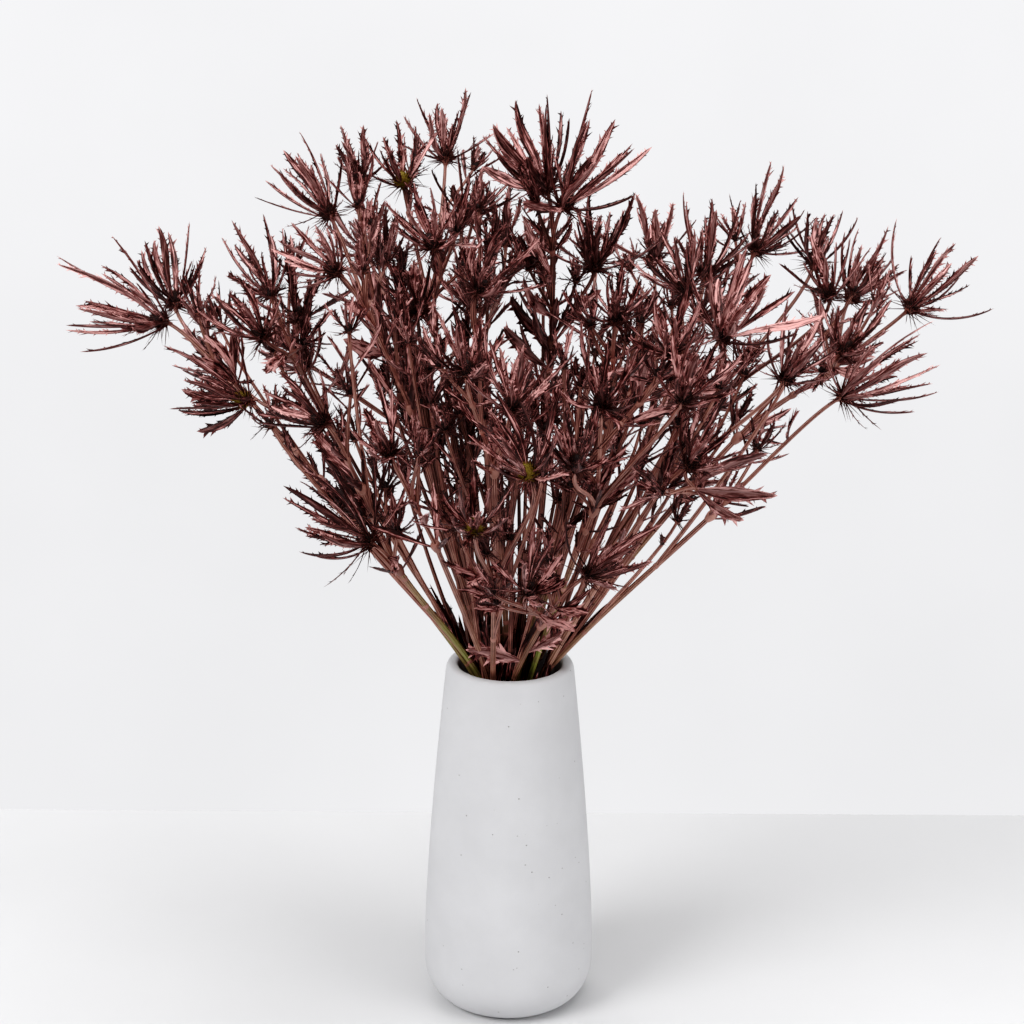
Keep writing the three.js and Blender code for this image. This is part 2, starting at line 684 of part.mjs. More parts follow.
/** A head: its cone in a ruff of bracts, the outer ones spread and the inner ones steep. */
function growHead(reaches, joined, head, seed) {
  const draw = seeded(seed);
  const core = {
    ...CONE,
    at: vector(head.at),
    axis: vector(head.faces).normalize(),
    sides: head.bract >= RUFF.longLength ? RUFF.longSides : RUFF.sides,
    phase: draw() * 2 * Math.PI,
  };
  const size = {
    length: head.bract * BRACT_LENGTH.least,
    lengthJitter: head.bract * BRACT_LENGTH.jitter,
  };
  const kinds = [
    { ...OUTER_BRACT, ...size, blade: OUTER_BLADE },
    { ...INNER_BRACT, ...size, blade: INNER_BLADE },
  ];
  return rosette(core, growBlades(reaches, joined, core, kinds, draw));
}

/** A whorl of spiny leaves on the collar of a fork. */
function growWhorl(reaches, joined, fork, axis, seed) {
  const draw = seeded(seed);
  const core = { ...COLLAR, at: vector(fork), axis, sides: WHORL_LEAVES, phase: draw() * 2 * Math.PI };
  return rosette(core, growBlades(reaches, joined, core, [{ ...WHORL, blade: LEAF }], draw));
}

/** A named mesh with a finish of its own. */
function named(name, geometry, finish) {
  const mesh = new THREE.Mesh(geometry, new THREE.MeshStandardMaterial(finish));
  mesh.name = name;
  return mesh;
}

/** The whole object. */
function buildObject() {
  const group = new THREE.Group();
  group.add(named('vase', toGeometry(toSolid(vaseGeometry())), VASE_FINISH));
  const grown = STEMS.map(growStem);
  const reaches = [lipReach(), ...grown.flatMap((plant) => plant.reaches)];
  grown.forEach(({ stem, owner, geometries }) => {
    stem.heads.forEach((head, i) => {
      geometries.push(growHead(reaches, headName(stem, i), head, 1000 * owner + i));
    });
  });
  grown.forEach(({ stem, owner, geometries, forkDirections }) => {
    stem.forks.forEach((fork, i) => {
      geometries.push(growWhorl(reaches, stem.name, fork, forkDirections[i], 1000 * owner + 500 + i));
    });
    group.add(named(stem.name, toGeometry(fuse(geometries)), STEM_FINISH));
  });
  return group;
}

export default buildObject();
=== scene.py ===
"""Sea holly in a vase: twenty-four dried, dyed stems of narrow-bracted sea holly in a matt stoneware vase.

The stems follow the lines of the solids, and every bract and leaf of the solids is grown again with its
folded blade and its teeth. Between them stand the finer rows that the solids leave out: more bracts, thin
spiny bracts, bristles, florets, side shoots and stem leaves. Sizes are in millimetres until a mesh is made.
"""

import logging
import math
from dataclasses import dataclass, field, replace
from enum import Enum
from typing import Sequence

import bpy
import numpy as np
from mathutils import Matrix, Vector

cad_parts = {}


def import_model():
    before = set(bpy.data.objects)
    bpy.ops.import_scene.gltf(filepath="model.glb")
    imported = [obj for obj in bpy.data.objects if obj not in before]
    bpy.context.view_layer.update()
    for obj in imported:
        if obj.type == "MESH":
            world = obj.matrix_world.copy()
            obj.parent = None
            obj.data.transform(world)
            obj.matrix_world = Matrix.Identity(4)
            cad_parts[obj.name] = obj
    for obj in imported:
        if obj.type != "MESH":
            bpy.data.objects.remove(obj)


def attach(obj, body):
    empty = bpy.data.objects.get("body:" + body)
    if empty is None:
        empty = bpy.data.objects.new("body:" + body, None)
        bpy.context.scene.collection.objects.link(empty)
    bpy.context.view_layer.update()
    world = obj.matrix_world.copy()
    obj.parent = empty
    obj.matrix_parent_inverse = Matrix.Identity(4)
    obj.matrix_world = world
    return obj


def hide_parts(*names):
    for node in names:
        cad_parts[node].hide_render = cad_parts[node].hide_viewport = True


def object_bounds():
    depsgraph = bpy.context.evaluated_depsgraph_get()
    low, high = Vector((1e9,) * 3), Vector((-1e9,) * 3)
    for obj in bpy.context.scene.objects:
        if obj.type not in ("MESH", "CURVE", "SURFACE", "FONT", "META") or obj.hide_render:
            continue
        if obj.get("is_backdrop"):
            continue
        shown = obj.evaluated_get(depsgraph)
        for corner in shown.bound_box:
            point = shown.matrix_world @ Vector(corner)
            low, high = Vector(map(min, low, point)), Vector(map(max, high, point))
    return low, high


Vec = np.ndarray
Pair = tuple[float, float]
Point = tuple[float, float, float]
MM = 0.001
FULL_TURN = 2 * math.pi
UP = np.array((0.0, 0.0, 1.0))

log = logging.getLogger("sea_holly")


# ---- The plan of the stems ----
@dataclass(frozen=True)
class HeadPlan:
    """A flower head: the fork that it grows from, its place, the way it faces and its bracts' length."""

    fork: int
    at: Point
    faces: Point
    bract: float


@dataclass(frozen=True)
class StemPlan:
    """A main stem: its name, where it passes the lip, its forks and its heads."""

    name: str
    lip: Pair
    forks: tuple[Point, ...]
    heads: tuple[HeadPlan, ...]


# Each row: the name, where it passes the lip, its forks, and its heads as HeadPlan gives them.
STEM_ROWS = (
    ("stem_far_left", (-28, -6), ((-120, -25, 370), (-175, -10, 430)), (
        (1, (-215, -20, 470), (-0.92, -0.25, 0.36), 72),
        (1, (-215, 30, 470), (-0.15, 0.2, 1), 52),
        (1, (-160, -60, 430), (-0.9, -0.2, 0.35), 52),
    )),
    ("stem_low_left", (-22, -17), ((-70, -50, 320), (-90, -90, 385)), (
        (0, (-85, -90, 350), (-0.8, -0.3, 0.55), 70),
        (0, (-90, -40, 350), (-0.6, 0.5, 0.5), 44),
        (1, (-110, -110, 430), (-0.7, -0.4, 0.6), 46),
    )),
    ("stem_left_fan", (-28, 6), ((-95, 15, 350), (-135, 10, 435)), (
        (1, (-155, 40, 475), (-0.45, 0.2, 0.8), 46),
        (1, (-150, -60, 470), (-0.5, -0.4, 0.7), 48),
        (1, (-135, 10, 465), (0.1, -0.2, 1), 38),
    )),
    ("stem_high_left", (-18, 2), ((-70, 10, 415), (-85, 0, 460)), (
        (1, (-115, 20, 530), (-0.5, 0.1, 0.8), 54),
        (1, (-100, 90, 540), (-0.1, 0.3, 0.9), 34),
    )),
    ("stem_high_inner_left", (-9, 9), ((-50, 30, 455),), (
        (0, (-70, 50, 545), (-0.1, -0.5, 0.8), 44),
        (0, (-45, 120, 550), (0, 0.25, 0.95), 46),
        (0, (-45, -110, 535), (-0.3, -0.45, 0.8), 42),
    )),
    ("stem_inner_left", (-18, 16), ((-55, 60, 385),), (
        (0, (-85, 80, 490), (0, 0.2, 1), 38),
        (0, (-60, 10, 470), (-0.1, -0.35, 0.9), 40),
        (0, (-100, 150, 480), (-0.4, 0.7, 0.6), 46),
    )),
    ("stem_middle_left", (-5, -3), ((-20, -10, 440),), (
        (0, (-30, 40, 525), (0.4, 0.1, 0.9), 42),
        (0, (-5, 90, 500), (-0.1, 0.3, 0.95), 38),
    )),
    ("stem_tallest", (5, 4), ((25, 0, 455),), (
        (0, (20, -30, 555), (-0.35, -0.1, 0.9), 60),
        (0, (30, -60, 550), (0.5, -0.2, 0.82), 68),
        (0, (50, -20, 505), (0, -0.2, 1), 48),
    )),
    ("stem_inner_right", (8, -8), ((60, -40, 410),), (
        (0, (105, -40, 495), (-0.3, -0.2, 0.9), 46),
        (0, (60, -100, 490), (0.1, -0.3, 0.9), 38),
    )),
    ("stem_high_right", (15, 1), ((90, 20, 390),), (
        (0, (95, 110, 485), (0, 0.3, 0.95), 42),
        (0, (125, 60, 485), (0.1, 0.1, 1), 52),
        (0, (120, -120, 485), (0.35, -0.4, 0.8), 60),
    )),
    ("stem_right_fan", (20, 12), ((125, 50, 395),), (
        (0, (160, 90, 495), (0.45, 0.2, 0.85), 58),
        (0, (200, 100, 485), (0.2, 0.25, 0.9), 42),
        (0, (200, 20, 480), (-0.2, 0, 0.95), 38),
    )),
    ("stem_far_right", (27, 4), ((145, 10, 390), (200, 5, 435)), (
        (1, (220, 60, 470), (0.5, 0.1, 0.75), 50),
        (1, (250, 10, 475), (0.55, -0.15, 0.7), 57),
        (1, (200, -50, 460), (0.5, -0.2, 0.8), 42),
    )),
    ("stem_low_right", (27, -8), ((125, -45, 355),), (
        (0, (200, -60, 435), (0.88, -0.2, 0.55), 64),
        (0, (105, -110, 405), (0.5, -0.4, 0.7), 44),
    )),
    ("stem_front_left", (-8, -14), ((-10, -105, 400),), (
        (0, (0, -190, 460), (0.15, -0.3, 0.9), 50),
        (0, (-25, -170, 475), (0, -0.4, 0.9), 44),
    )),
    ("stem_front_right", (14, -20), ((50, -85, 370),), (
        (0, (95, -170, 460), (0.3, -0.45, 0.8), 42),
        (0, (50, -180, 460), (0.05, -0.5, 0.85), 50),
        (0, (35, -200, 430), (0.1, -0.45, 0.85), 40),
    )),
    ("stem_front_middle", (-11, -26), ((-10, -85, 320),), (
        (0, (10, -200, 425), (-0.35, -0.5, 0.8), 52),
        (0, (-20, -190, 390), (0, -0.45, 0.9), 40),
    )),
    ("stem_front_low", (3, -27), ((20, -52, 285),), (
        (0, (10, -150, 340), (0.3, -0.5, 0.8), 44),
        (0, (45, -120, 340), (0.75, -0.2, 0.6), 50),
    )),
    ("stem_back_left", (-8, 23), ((-60, 90, 360),), (
        (0, (-30, 185, 440), (-0.1, 0.9, 0.4), 48),
        (0, (-140, 120, 410), (-0.7, 0.6, 0.3), 48),
    )),
    ("stem_back_right", (9, 23), ((45, 90, 355),), (
        (0, (60, 180, 470), (0.2, 0.8, 0.6), 46),
        (0, (130, 160, 435), (0.6, 0.7, 0.35), 50),
        (0, (20, 150, 385), (0.1, 0.95, 0.25), 44),
    )),
    ("stem_single_low_left", (-15, -21), ((-45, -95, 350),), (
        (0, (-70, -140, 420), (-0.3, -0.4, 0.85), 40),
    )),
    ("stem_single_high_left", (-16, -8), ((-62, -38, 420),), (
        (0, (-105, -60, 510), (-0.7, -0.3, 0.6), 46),
    )),
    ("stem_single_middle", (-1, -12), ((-12, -52, 420),), (
        (0, (-20, -90, 505), (0.5, -0.4, 0.75), 50),
    )),
    ("stem_single_inner_right", (6, -17), ((42, -92, 395),), (
        (0, (90, -140, 480), (0, -0.5, 0.85), 40),
    )),
    ("stem_single_right", (23, -16), ((90, -75, 380),), (
        (0, (160, -100, 455), (0.4, -0.3, 0.85), 48),
    )),
)
STEMS = tuple(
    StemPlan(name, lip, forks, tuple(HeadPlan(*head) for head in heads))
    for name, lip, forks, heads in STEM_ROWS
)


# ---- Small tools ----
# The numbers of a run are 32 bits long, and this is how far its state moves each time.
MASK, STRIDE = 0xFFFFFFFF, 0x6D2B79F5


class Draws:
    """A repeatable run of numbers, the same as the solids are drawn from."""

    def __init__(self, seed: int) -> None:
        """Starts the run at a seed."""
        self.state = seed & MASK

    def __call__(self, low: float = 0.0, high: float = 1.0) -> float:
        """The next number, between two others.

        Args:
            low: The lower one.
            high: The upper one.

        Returns:
            The number.
        """
        self.state = (self.state + STRIDE) & MASK
        mixed = ((self.state ^ (self.state >> 15)) * (self.state | 1)) & MASK
        mixed ^= (mixed + (((mixed ^ (mixed >> 7)) * (mixed | 61)) & MASK)) & MASK
        return low + (high - low) * (((mixed ^ (mixed >> 14)) & MASK) / (MASK + 1))


class Run(Enum):
    """Where each kind of finer growth starts its runs of numbers."""

    BRACTS = 20_000
    SHOOTS = 30_000
    STEM_SHOOTS = 35_000
    STEM_LEAVES = 40_000
    BROAD_LEAVES = 45_000
    SHEATHS = 46_000
    SLIPS = 50_000
    STALKS = 60_000
    FOLIAGE = 70_000
    CONES = 80_000
    GREEN = 90_000

    def draws(self, owner: int, i: int | None = None) -> Draws:
        """The run of a stem, or of one of its heads or branches."""
        return Draws(self.value + (owner if i is None else 100 * owner + i))


def unit(vector: Vec) -> Vec:
    """A vector of length one with the same direction."""
    return vector / max(float(np.linalg.norm(vector)), 1e-12)


def across(axis: Vec) -> tuple[Vec, Vec]:
    """Two directions square to an axis and to each other.

    Args:
        axis: The axis.

    Returns:
        The two directions.
    """
    reference = UP if abs(axis[2]) < 0.9 else np.array((1.0, 0.0, 0.0))
    first = unit(np.cross(reference, axis))
    return first, np.cross(axis, first)


def radial_at(axis: Vec, angle: float) -> Vec:
    """The direction out from an axis at an angle round it."""
    first, second = across(axis)
    return first * math.cos(angle) + second * math.sin(angle)


def angle_towards(axis: Vec, direction: Vec) -> float:
    """The angle round an axis of the side that faces a direction."""
    first, second = across(axis)
    return math.atan2(float(direction @ second), float(direction @ first))


def hermite(start: Vec, leaving: Vec, end: Vec, arriving: Vec, t: float) -> Vec:
    """A point of the cubic between two points with their tangents.

    Args:
        start: The first point.
        leaving: The tangent there.
        end: The second point.
        arriving: The tangent there.
        t: How far along, from 0 to 1.

    Returns:
        The point.
    """
    return (
        start * (2 * t**3 - 3 * t**2 + 1)
        + leaving * (t**3 - 2 * t**2 + t)
        + end * (3 * t**2 - 2 * t**3)
        + arriving * (t**3 - t**2)
    )


def linear(hex_colour: str) -> tuple[float, float, float, float]:
    """The linear colour of an sRGB hex value such as #7d4a44.

    Args:
        hex_colour: The value.

    Returns:
        Its red, green, blue and alpha.
    """
    channels = [int(hex_colour[i : i + 2], 16) / 255 for i in (1, 3, 5)]
    red, green, blue = (c / 12.92 if c <= 0.04045 else ((c + 0.055) / 1.055) ** 2.4 for c in channels)
    return red, green, blue, 1.0


# ---- What keeps clear of what ----
@dataclass
class Reach:
    """A line of points with radii that other pieces keep clear of, and the names of what it joins."""

    joined: frozenset[str]
    points: Vec
    radii: Vec

    def __post_init__(self) -> None:
        """Finds the ball round the line."""
        self.centre = (self.points.min(0) + self.points.max(0)) / 2
        far = np.linalg.norm(self.points - self.centre, axis=1).max()
        self.ball = float(far + self.radii.max())
        self.thick = np.maximum(self.radii[:-1], self.radii[1:])


class Clearance:
    """Every reach so far, and whether a new one is clear of them."""

    first_rows = 4096

    def __init__(self) -> None:
        """Starts with no reaches."""
        self.reaches: list[Reach] = []
        self.centres = np.zeros((self.first_rows, 3))
        self.balls = np.zeros(self.first_rows)

    def add(self, reach: Reach) -> None:
        """Keeps a reach for later ones to stay clear of.

        Args:
            reach: The reach.
        """
        count = len(self.reaches)
        if count == len(self.balls):
            self.centres = np.vstack((self.centres, np.zeros_like(self.centres)))
            self.balls = np.concatenate((self.balls, np.zeros_like(self.balls)))
        self.centres[count] = reach.centre
        self.balls[count] = reach.ball
        self.reaches.append(reach)

    def is_clear(self, reach: Reach, gap: float) -> bool:
        """Whether a reach stays a gap away from all that it doesn't join.

        Args:
            reach: The new piece's line.
            gap: The least distance to leave, in millimetres.

        Returns:
            True where nothing is nearer than the gap.
        """
        count = len(self.reaches)
        apart = np.linalg.norm(self.centres[:count] - reach.centre, axis=1)
        for i in np.nonzero(apart - self.balls[:count] - reach.ball <= gap)[0]:
            other = self.reaches[i]
            if reach.joined & other.joined:
                continue
            lines = line_distances(reach.points, other.points)
            if (lines - reach.thick[:, None] - other.thick[None, :] <= gap).any():
                return False
        return True


def line_distances(one: Vec, two: Vec) -> Vec:
    """The least distances between the straight stretches of two lines of points.

    Args:
        one: The first line's points.
        two: The second line's points.

    Returns:
        A table of distances, a row for each stretch of the first line.
    """
    a0, b0 = one[:-1][:, None, :], two[:-1][None, :, :]
    along, other = one[1:][:, None, :] - a0, two[1:][None, :, :] - b0
    between = a0 - b0
    a, e = (along * along).sum(-1), (other * other).sum(-1)
    f, c, b = (other * between).sum(-1), (along * between).sum(-1), (along * other).sum(-1)
    slant = a * e - b * b
    s = np.where(slant > 1e-9, np.clip((b * f - c * e) / np.where(slant > 1e-9, slant, 1), 0, 1), 0)
    t = (b * s + f) / e
    s = np.where(t < 0, np.clip(-c / a, 0, 1), np.where(t > 1, np.clip((b - c) / a, 0, 1), s))
    t = np.clip(t, 0, 1)
    return np.linalg.norm(a0 + along * s[..., None] - b0 - other * t[..., None], axis=-1)


# ---- Blades ----
@dataclass(frozen=True)
class Blade:
    """A bract or leaf: it bows in a plane from one angle off its axis to another."""

    root: Vec
    axis: Vec
    radial: Vec
    start_lean: float
    end_lean: float
    length: float
    half_width: float
    root_out: float
    azimuth: float

    def points(self, shares: Sequence[float] | Vec) -> Vec:
        """The points of its middle line at shares of its length.

        Args:
            shares: The shares.

        Returns:
            The points, one a row.
        """
        share = np.asarray(shares, float)[:, None]
        turn = self.end_lean - self.start_lean
        lean = self.start_lean + turn * share
        up = (np.sin(lean) - math.sin(self.start_lean)) / turn
        out = (math.cos(self.start_lean) - np.cos(lean)) / turn
        return self.root + self.axis * up * self.length + self.radial * out * self.length

    def tangents(self, shares: Sequence[float] | Vec) -> Vec:
        """The directions of its middle line at shares of its length.

        Args:
            shares: The shares.

        Returns:
            The directions, one a row.
        """
        share = np.asarray(shares, float)[:, None]
        lean = self.start_lean + (self.end_lean - self.start_lean) * share
        return self.axis * np.cos(lean) + self.radial * np.sin(lean)


# How much of a blade's curl opens its foot, and how much closes its tip.
CURL_AT_FOOT, CURL_AT_TIP = 0.4, 0.6


def stand(
    at: Vec, axis: Vec, azimuth: float, lean: float, curl: float,
    length: float, half_width: float, root_out: float,
) -> Blade:
    """A blade that isn't turned to its side yet, with its lean and curl in degrees."""
    start, end = math.radians(lean + curl * CURL_AT_FOOT), math.radians(lean - curl * CURL_AT_TIP)
    return Blade(at, axis, axis, start, end, length, half_width, root_out, azimuth)


@dataclass(frozen=True)
class Spread:
    """How a row of blades leans and curls, in degrees, with the play of each and their length."""

    lean: float
    lean_play: float
    curl: float
    curl_play: float
    length: float = 0.0
    length_play: float = 0.0
    half_width: float = 2.1
    root_out: float = 3.6


# The same tries as the solids have: degrees round the stalk, degrees of lean and a share of the length.
BLADE_TRIES = (
    (0, 0, 1), (14, 0, 1), (-14, 0, 1), (0, -12, 1), (0, 12, 1), (20, -14, 1), (-20, -14, 1),
    (0, -26, 1), (18, 16, 1), (-18, 16, 1), (0, 0, 0.8), (14, -10, 0.8), (-14, -10, 0.8), (0, -26, 0.8),
    (24, 0, 0.7), (-24, 0, 0.7), (0, 0, 0.6), (0, -26, 0.6), (14, 12, 0.6), (-14, 12, 0.6),
)
REACH_SHARES = (0, 0.28, 0.52, 0.76, 1)
REACH_WIDTHS = np.array((0.5, 1.1, 1.5, 1.2, 0.2))


@dataclass
class Room:
    """The space that the plant may fill: the solids' box, and what already stands in it."""

    low: Vec
    high: Vec
    gap: float = 0.5
    clearance: Clearance = field(default_factory=Clearance)

    def keep(self, joined: Sequence[str], points: Vec, radii: Vec) -> None:
        """Keeps a line of points for later pieces to stay clear of."""
        self.clearance.add(Reach(frozenset(joined), points, radii))

    def holds(self, points: Vec, margin: float = 1.0) -> bool:
        """Whether points lie inside the box."""
        return bool((points > self.low + margin).all() and (points < self.high - margin).all())

    def place(self, blade: Blade, joined: str, gap: float, boxed: bool) -> Blade | None:
        """Turns, leans or shortens a blade until it is clear.

        Args:
            blade: The blade, with its root on its axis.
            joined: The name of what it grows from.
            gap: The least distance to leave.
            boxed: Whether it must also stay inside the box.

        Returns:
            The blade as it stands, or None where no try is clear.
        """
        for turned, leaned, kept in BLADE_TRIES:
            radial = radial_at(blade.axis, blade.azimuth + math.radians(turned))
            tried = replace(
                blade,
                radial=radial,
                root=blade.root + radial * blade.root_out,
                start_lean=blade.start_lean + math.radians(leaned),
                end_lean=blade.end_lean + math.radians(leaned),
                length=blade.length * kept,
            )
            points = tried.points(REACH_SHARES)
            if boxed and not self.holds(points):
                continue
            reach = Reach(frozenset((joined,)), points, REACH_WIDTHS * blade.half_width)
            if self.clearance.is_clear(reach, gap):
                self.clearance.add(reach)
                return tried
        return None


# How far a blade stands off its facet's middle, from side to side, in degrees.
FACET_PLAY = 22
# Blades reach for the light: the share of lean and length that one on the underside loses.
UNDERSIDE_LEAN, UNDERSIDE_LENGTH = 0.42, 0.25


def facing_down(axis: Vec, azimuth: float) -> float:
    """How far the side of an axis at an angle faces down, from 0 to 1."""
    return max(0.0, -float(radial_at(axis, azimuth)[2]))


@dataclass(frozen=True)
class Core:
    """What blades grow from: bands of facets round an axis."""

    at: Vec
    axis: Vec
    heights: tuple[float, ...]
    sides: int
    phase: float

    def grow(self, room: Room, joined: str, rows: Sequence[Spread], draws: Draws) -> list[Blade]:
        """A blade for each facet of each band, as its row says.

        Args:
            room: The space to stay clear in.
            joined: The name of the head or stem.
            rows: How the blades of each band stand.
            draws: The numbers to vary them by.

        Returns:
            The blades that found room.
        """
        blades = []
        for band, row in enumerate(rows):
            height = (self.heights[band] + self.heights[band + 1]) / 2
            for facet in range(self.sides):
                azimuth = self.phase + FULL_TURN * (facet + band / 2) / self.sides
                azimuth += math.radians((draws() - 0.5) * FACET_PLAY)
                down = facing_down(self.axis, azimuth)
                lean = (row.lean + (draws() - 0.5) * row.lean_play) * (1 - UNDERSIDE_LEAN * down)
                curl = row.curl + (draws() - 0.5) * row.curl_play
                length = (row.length + row.length_play * draws()) * (1 - UNDERSIDE_LENGTH * down)
                at = self.at + self.axis * height
                blade = stand(at, self.axis, azimuth, lean, curl, length, row.half_width, row.root_out)
                placed = room.place(blade, joined, room.gap, boxed=False)
                if placed:
                    blades.append(placed)
        return blades


# ---- The plant ----
FOOT_HEIGHT, WAIST_HEIGHT, LIP_HEIGHT = 16.0, 140.0, 240.0
# The ring along the vase's lip that blades keep clear of: its radius, height, thickness and points.
LIP_RADIUS, LIP_MIDDLE, LIP_THICK, LIP_POINTS = 37.5, 236.0, 4.5, 17
# How far in a stem stands at its foot and waist, and how much it bends to its first fork, as shares.
FOOT_IN, WAIST_IN, LIP_BEND = 0.95, 0.82, 0.75
STEM_RADII, BRANCH_RADII, STEM_RIBS, BRANCH_RIBS = (2.3, 1.5), (1.35, 1.1), 7, 5
# The steps of the lines, coarse as the solids have them, and fine for the skin.
STEM_STEP, FINE_STEP, BRANCH_STEPS, FINE_BRANCH_STEPS = 78.0, 9.0, 3, 18
# How far a branch follows its stem, and the pull of its head's facing.
BRANCH_FOLLOW, BRANCH_ARRIVAL = 0.4, 0.55
CONE_HEIGHTS = (-2.0, 2.5, 6.5)
CONE_TOP, CONE_RADIUS, CONE_SINK = 10.0, 4.9, 1.5
# The shares of a cone's height and of its top's radius that are kept clear.
CONE_KEPT, CONE_TAPER = 0.8, 0.9
COLLAR_HEIGHTS = (-3.5, 2.0)
# The facets that blades grow from, of which heads with long bracts have more.
FACETS, MANY_FACETS, MANY_FACETS_FROM, WHORL_FACETS = 4, 5, 58.0, 3
# The solids' runs of numbers: a stem's heads start at this times its number, and its whorls so far on.
HEAD_RUNS, WHORL_RUNS = 1000, 500
OUTER_BRACT = Spread(lean=50, lean_play=34, curl=32, curl_play=44)
INNER_BRACT = Spread(lean=22, lean_play=24, curl=20, curl_play=34)
BRACT_LENGTH, BRACT_LENGTH_PLAY = 0.64, 0.44
WHORL_LEAF = Spread(38, 28, 14, 30, length=28, length_play=20, half_width=2.6, root_out=2.4)
# Heads whose bracts grew broader than the others', and how much.
BROAD_HEADS = {"stem_high_right_2": 1.4, "stem_tallest_0": 1.3, "stem_tallest_1": 1.35}
# Where the dye missed: cones that stay green, and how green some stems are at the mouth.
GREEN_CONES = ("stem_far_left_2", "stem_high_inner_left_0", "stem_front_middle_0", "stem_front_middle_1")
GREEN_CONE, GREEN_STALK = 0.75, (0.0, 0.75)
GREEN_STEMS = {"stem_low_left": 1.0, "stem_front_right": 1.0, "stem_far_left": 0.8, "stem_front_left": 0.0}
# Stems at the left, and how much darker their foliage is painted: painted shade against the key lamp on that
# side.
LEFT_PAINTED_SHADE = {"stem_far_left": 0.15, "stem_low_left": 0.12, "stem_left_fan": 0.1, "stem_high_left": 0.05}


@dataclass(frozen=True)
class RuffRow:
    """A finer row of a ruff: its height, and its bracts' lean and length as shares of their head's."""

    height: float
    lean: Pair
    length: Pair


WIDE_ROW = RuffRow(0.5, (0.55, 1.08), (0.42, 0.9))
STEEP_ROW = RuffRow(4.0, (0.12, 0.66), (0.35, 0.88))
RUFF_CURL, RUFF_HALF_WIDTH, RUFF_WIDTHS, RUFF_ROOT = (0, 48), 2.1, (0.7, 1.15), 3.2
# How many bracts the two rows add: on most heads, on heads with bracts from a length, and on a shoot's.
RUFF, FULL_RUFF, FULL_RUFF_FROM, SHOOT_RUFF = (1, 4), (2, 5), 50.0, (3, 5)
# The least shares of their size that bracts and bristles keep on a small head.
LEAST_WIDTH, LEAST_BRISTLE = 0.3, 0.4


@dataclass(frozen=True)
class LeafKind:
    """How a kind of finer leaf may stand: its lean and curl in degrees, length, half width and foot."""

    lean: Pair
    curl: Pair
    length: Pair
    half_width: Pair
    root_out: float


JOINT_LEAF = LeafKind((16, 58), (-10, 30), (14, 34), (0.9, 2.0), 1.2)
BROAD_LEAF = LeafKind((24, 60), (-16, 30), (26, 46), (3.2, 5.2), 1.0)
SHEATH = LeafKind((0, 9), (-8, 8), (30, 62), (2.0, 3.2), 1.8)
# A slip's length is a share of its head's bracts.
SLIP = LeafKind((20, 100), (0, 40), (0.2, 0.55), (0.5, 0.85), 3.0)
# How far finer blades may run into others, as a share of their half width.
OVERLAP = 0.8

# How far out a branch ends that grows no shoots near its head.
BARE_BEYOND = 185.0
# Where along a branch its shoots leave, the play of that, and the branch's length that carries two.
BRANCH_SHOOTS, BARE_BRANCH_SHOOTS, SHOOT_PLACE_PLAY, TWO_SHOOTS_FROM = (0.3, 0.62), (0.14,), (-0.12, 0.12), 80
BRANCH_SHOOT_LENGTH, BRANCH_SHOOT_SPREAD = (24, 48), 0.42
# Up a stem: where its shoots start and end, the steps between them under and over a height, their length,
# how that falls with height, how high their heads stand, and how far they spread.
FIRST_SHOOT, SHOOTS_END_BELOW = (190, 225), 12
LOW_STEPS, HIGH_STEPS, HIGH_STEPS_FROM = (13, 27), (15, 32), 300
STEM_SHOOT_LENGTH, SHORTER_FROM, SHORTER_BY, SHOOT_TOP = (110, 200), 260, 0.4, (375, 430)
STEM_SHOOT_SPREAD = (0.04, 0.22)
# Stems that lean out are barer, so that they stand apart: from where, over what, and how much.
APART_FROM, APART_OVER, APART_BY = 70, 60, 0.9
# A shoot: its turns until it finds room, its play, its bracts, its head's size and opening, and its steps.
SHOOT_TURNS, SHOOT_PLAY = (0.0, 0.4, -0.4, 0.8, -0.8, 1.3, -1.3), (-0.9, 0.9)
SHOOT_BRACT, SHOOT_SIZE, SHOOT_OPENING, SHOOT_STEPS = (24, 38), 0.55, (34, 62), 8
# The height under which joints carry no leaves, and a shoot's radii under and over it and at its top.
LEAFLESS_BELOW, LOW_SHOOT_RADIUS, HIGH_SHOOT_RADIUS, SHOOT_TOP_RADIUS = 330.0, 1.5, 1.15, 0.95
# The bud that its head is kept clear as, the gap to leave, and its bracts' margin inside the box.
BUD_LENGTH, BUD_RADII, SHOOT_GAP, SHOOT_MARGIN = 5, (3.6, 3.4), 0.3, 6
# Its end and its head's facing as shares of the stalk's direction and of straight up, how far its bracts
# reach, and the point of its line that carries leaves.
SHOOT_ALONG, FACES_ALONG, FACES_UP, BRACT_REACH, LEAFY_POINT = 0.9, 0.8, 0.4, 0.8, 6
SHOOT_COLLAR, JOINT_COLLAR = 0.62, 0.7
# The turn of a joint's first leaf, as a share of half a turn, and the play of each, in radians.
LEAF_TURN, LEAF_PLAY = 0.3, (-0.3, 0.3)
# Where broad leaves grow along a branch, and the share of that on a bare one.
BROAD_PLACE, BARE_PLACE = (0.2, 0.5), 0.5
# How many slips a head and a shoot's head have, and how far up them.
SLIPS, SHOOT_SLIPS, SLIP_PLACE = 10, 4, (0, 5)
# A standing leaf's bow, and how its face turns up, more so over a height.
STANDING_BOW, FACE_UP, FACE_UP_FROM, FACE_UP_GAIN = (-0.28, 0.3), 12, 330.0, 0.3
# Near the vase's axis there is no clear way out, so there it turns to the front.
NEAR_AXIS, TO_FRONT = 40, 60
# The heights that sheaths grow at, how many, and their play to the side.
SHEATH_HEIGHTS, SHEATHS, SHEATH_PLAY = (196, 246), 4, (-1.2, 1.2)
# Where stem leaves start, the steps between them, and how far below the last fork they end.
FIRST_LEAF, LEAF_STEPS, LEAVES_END_BELOW = (340, 365), (36, 60), 10


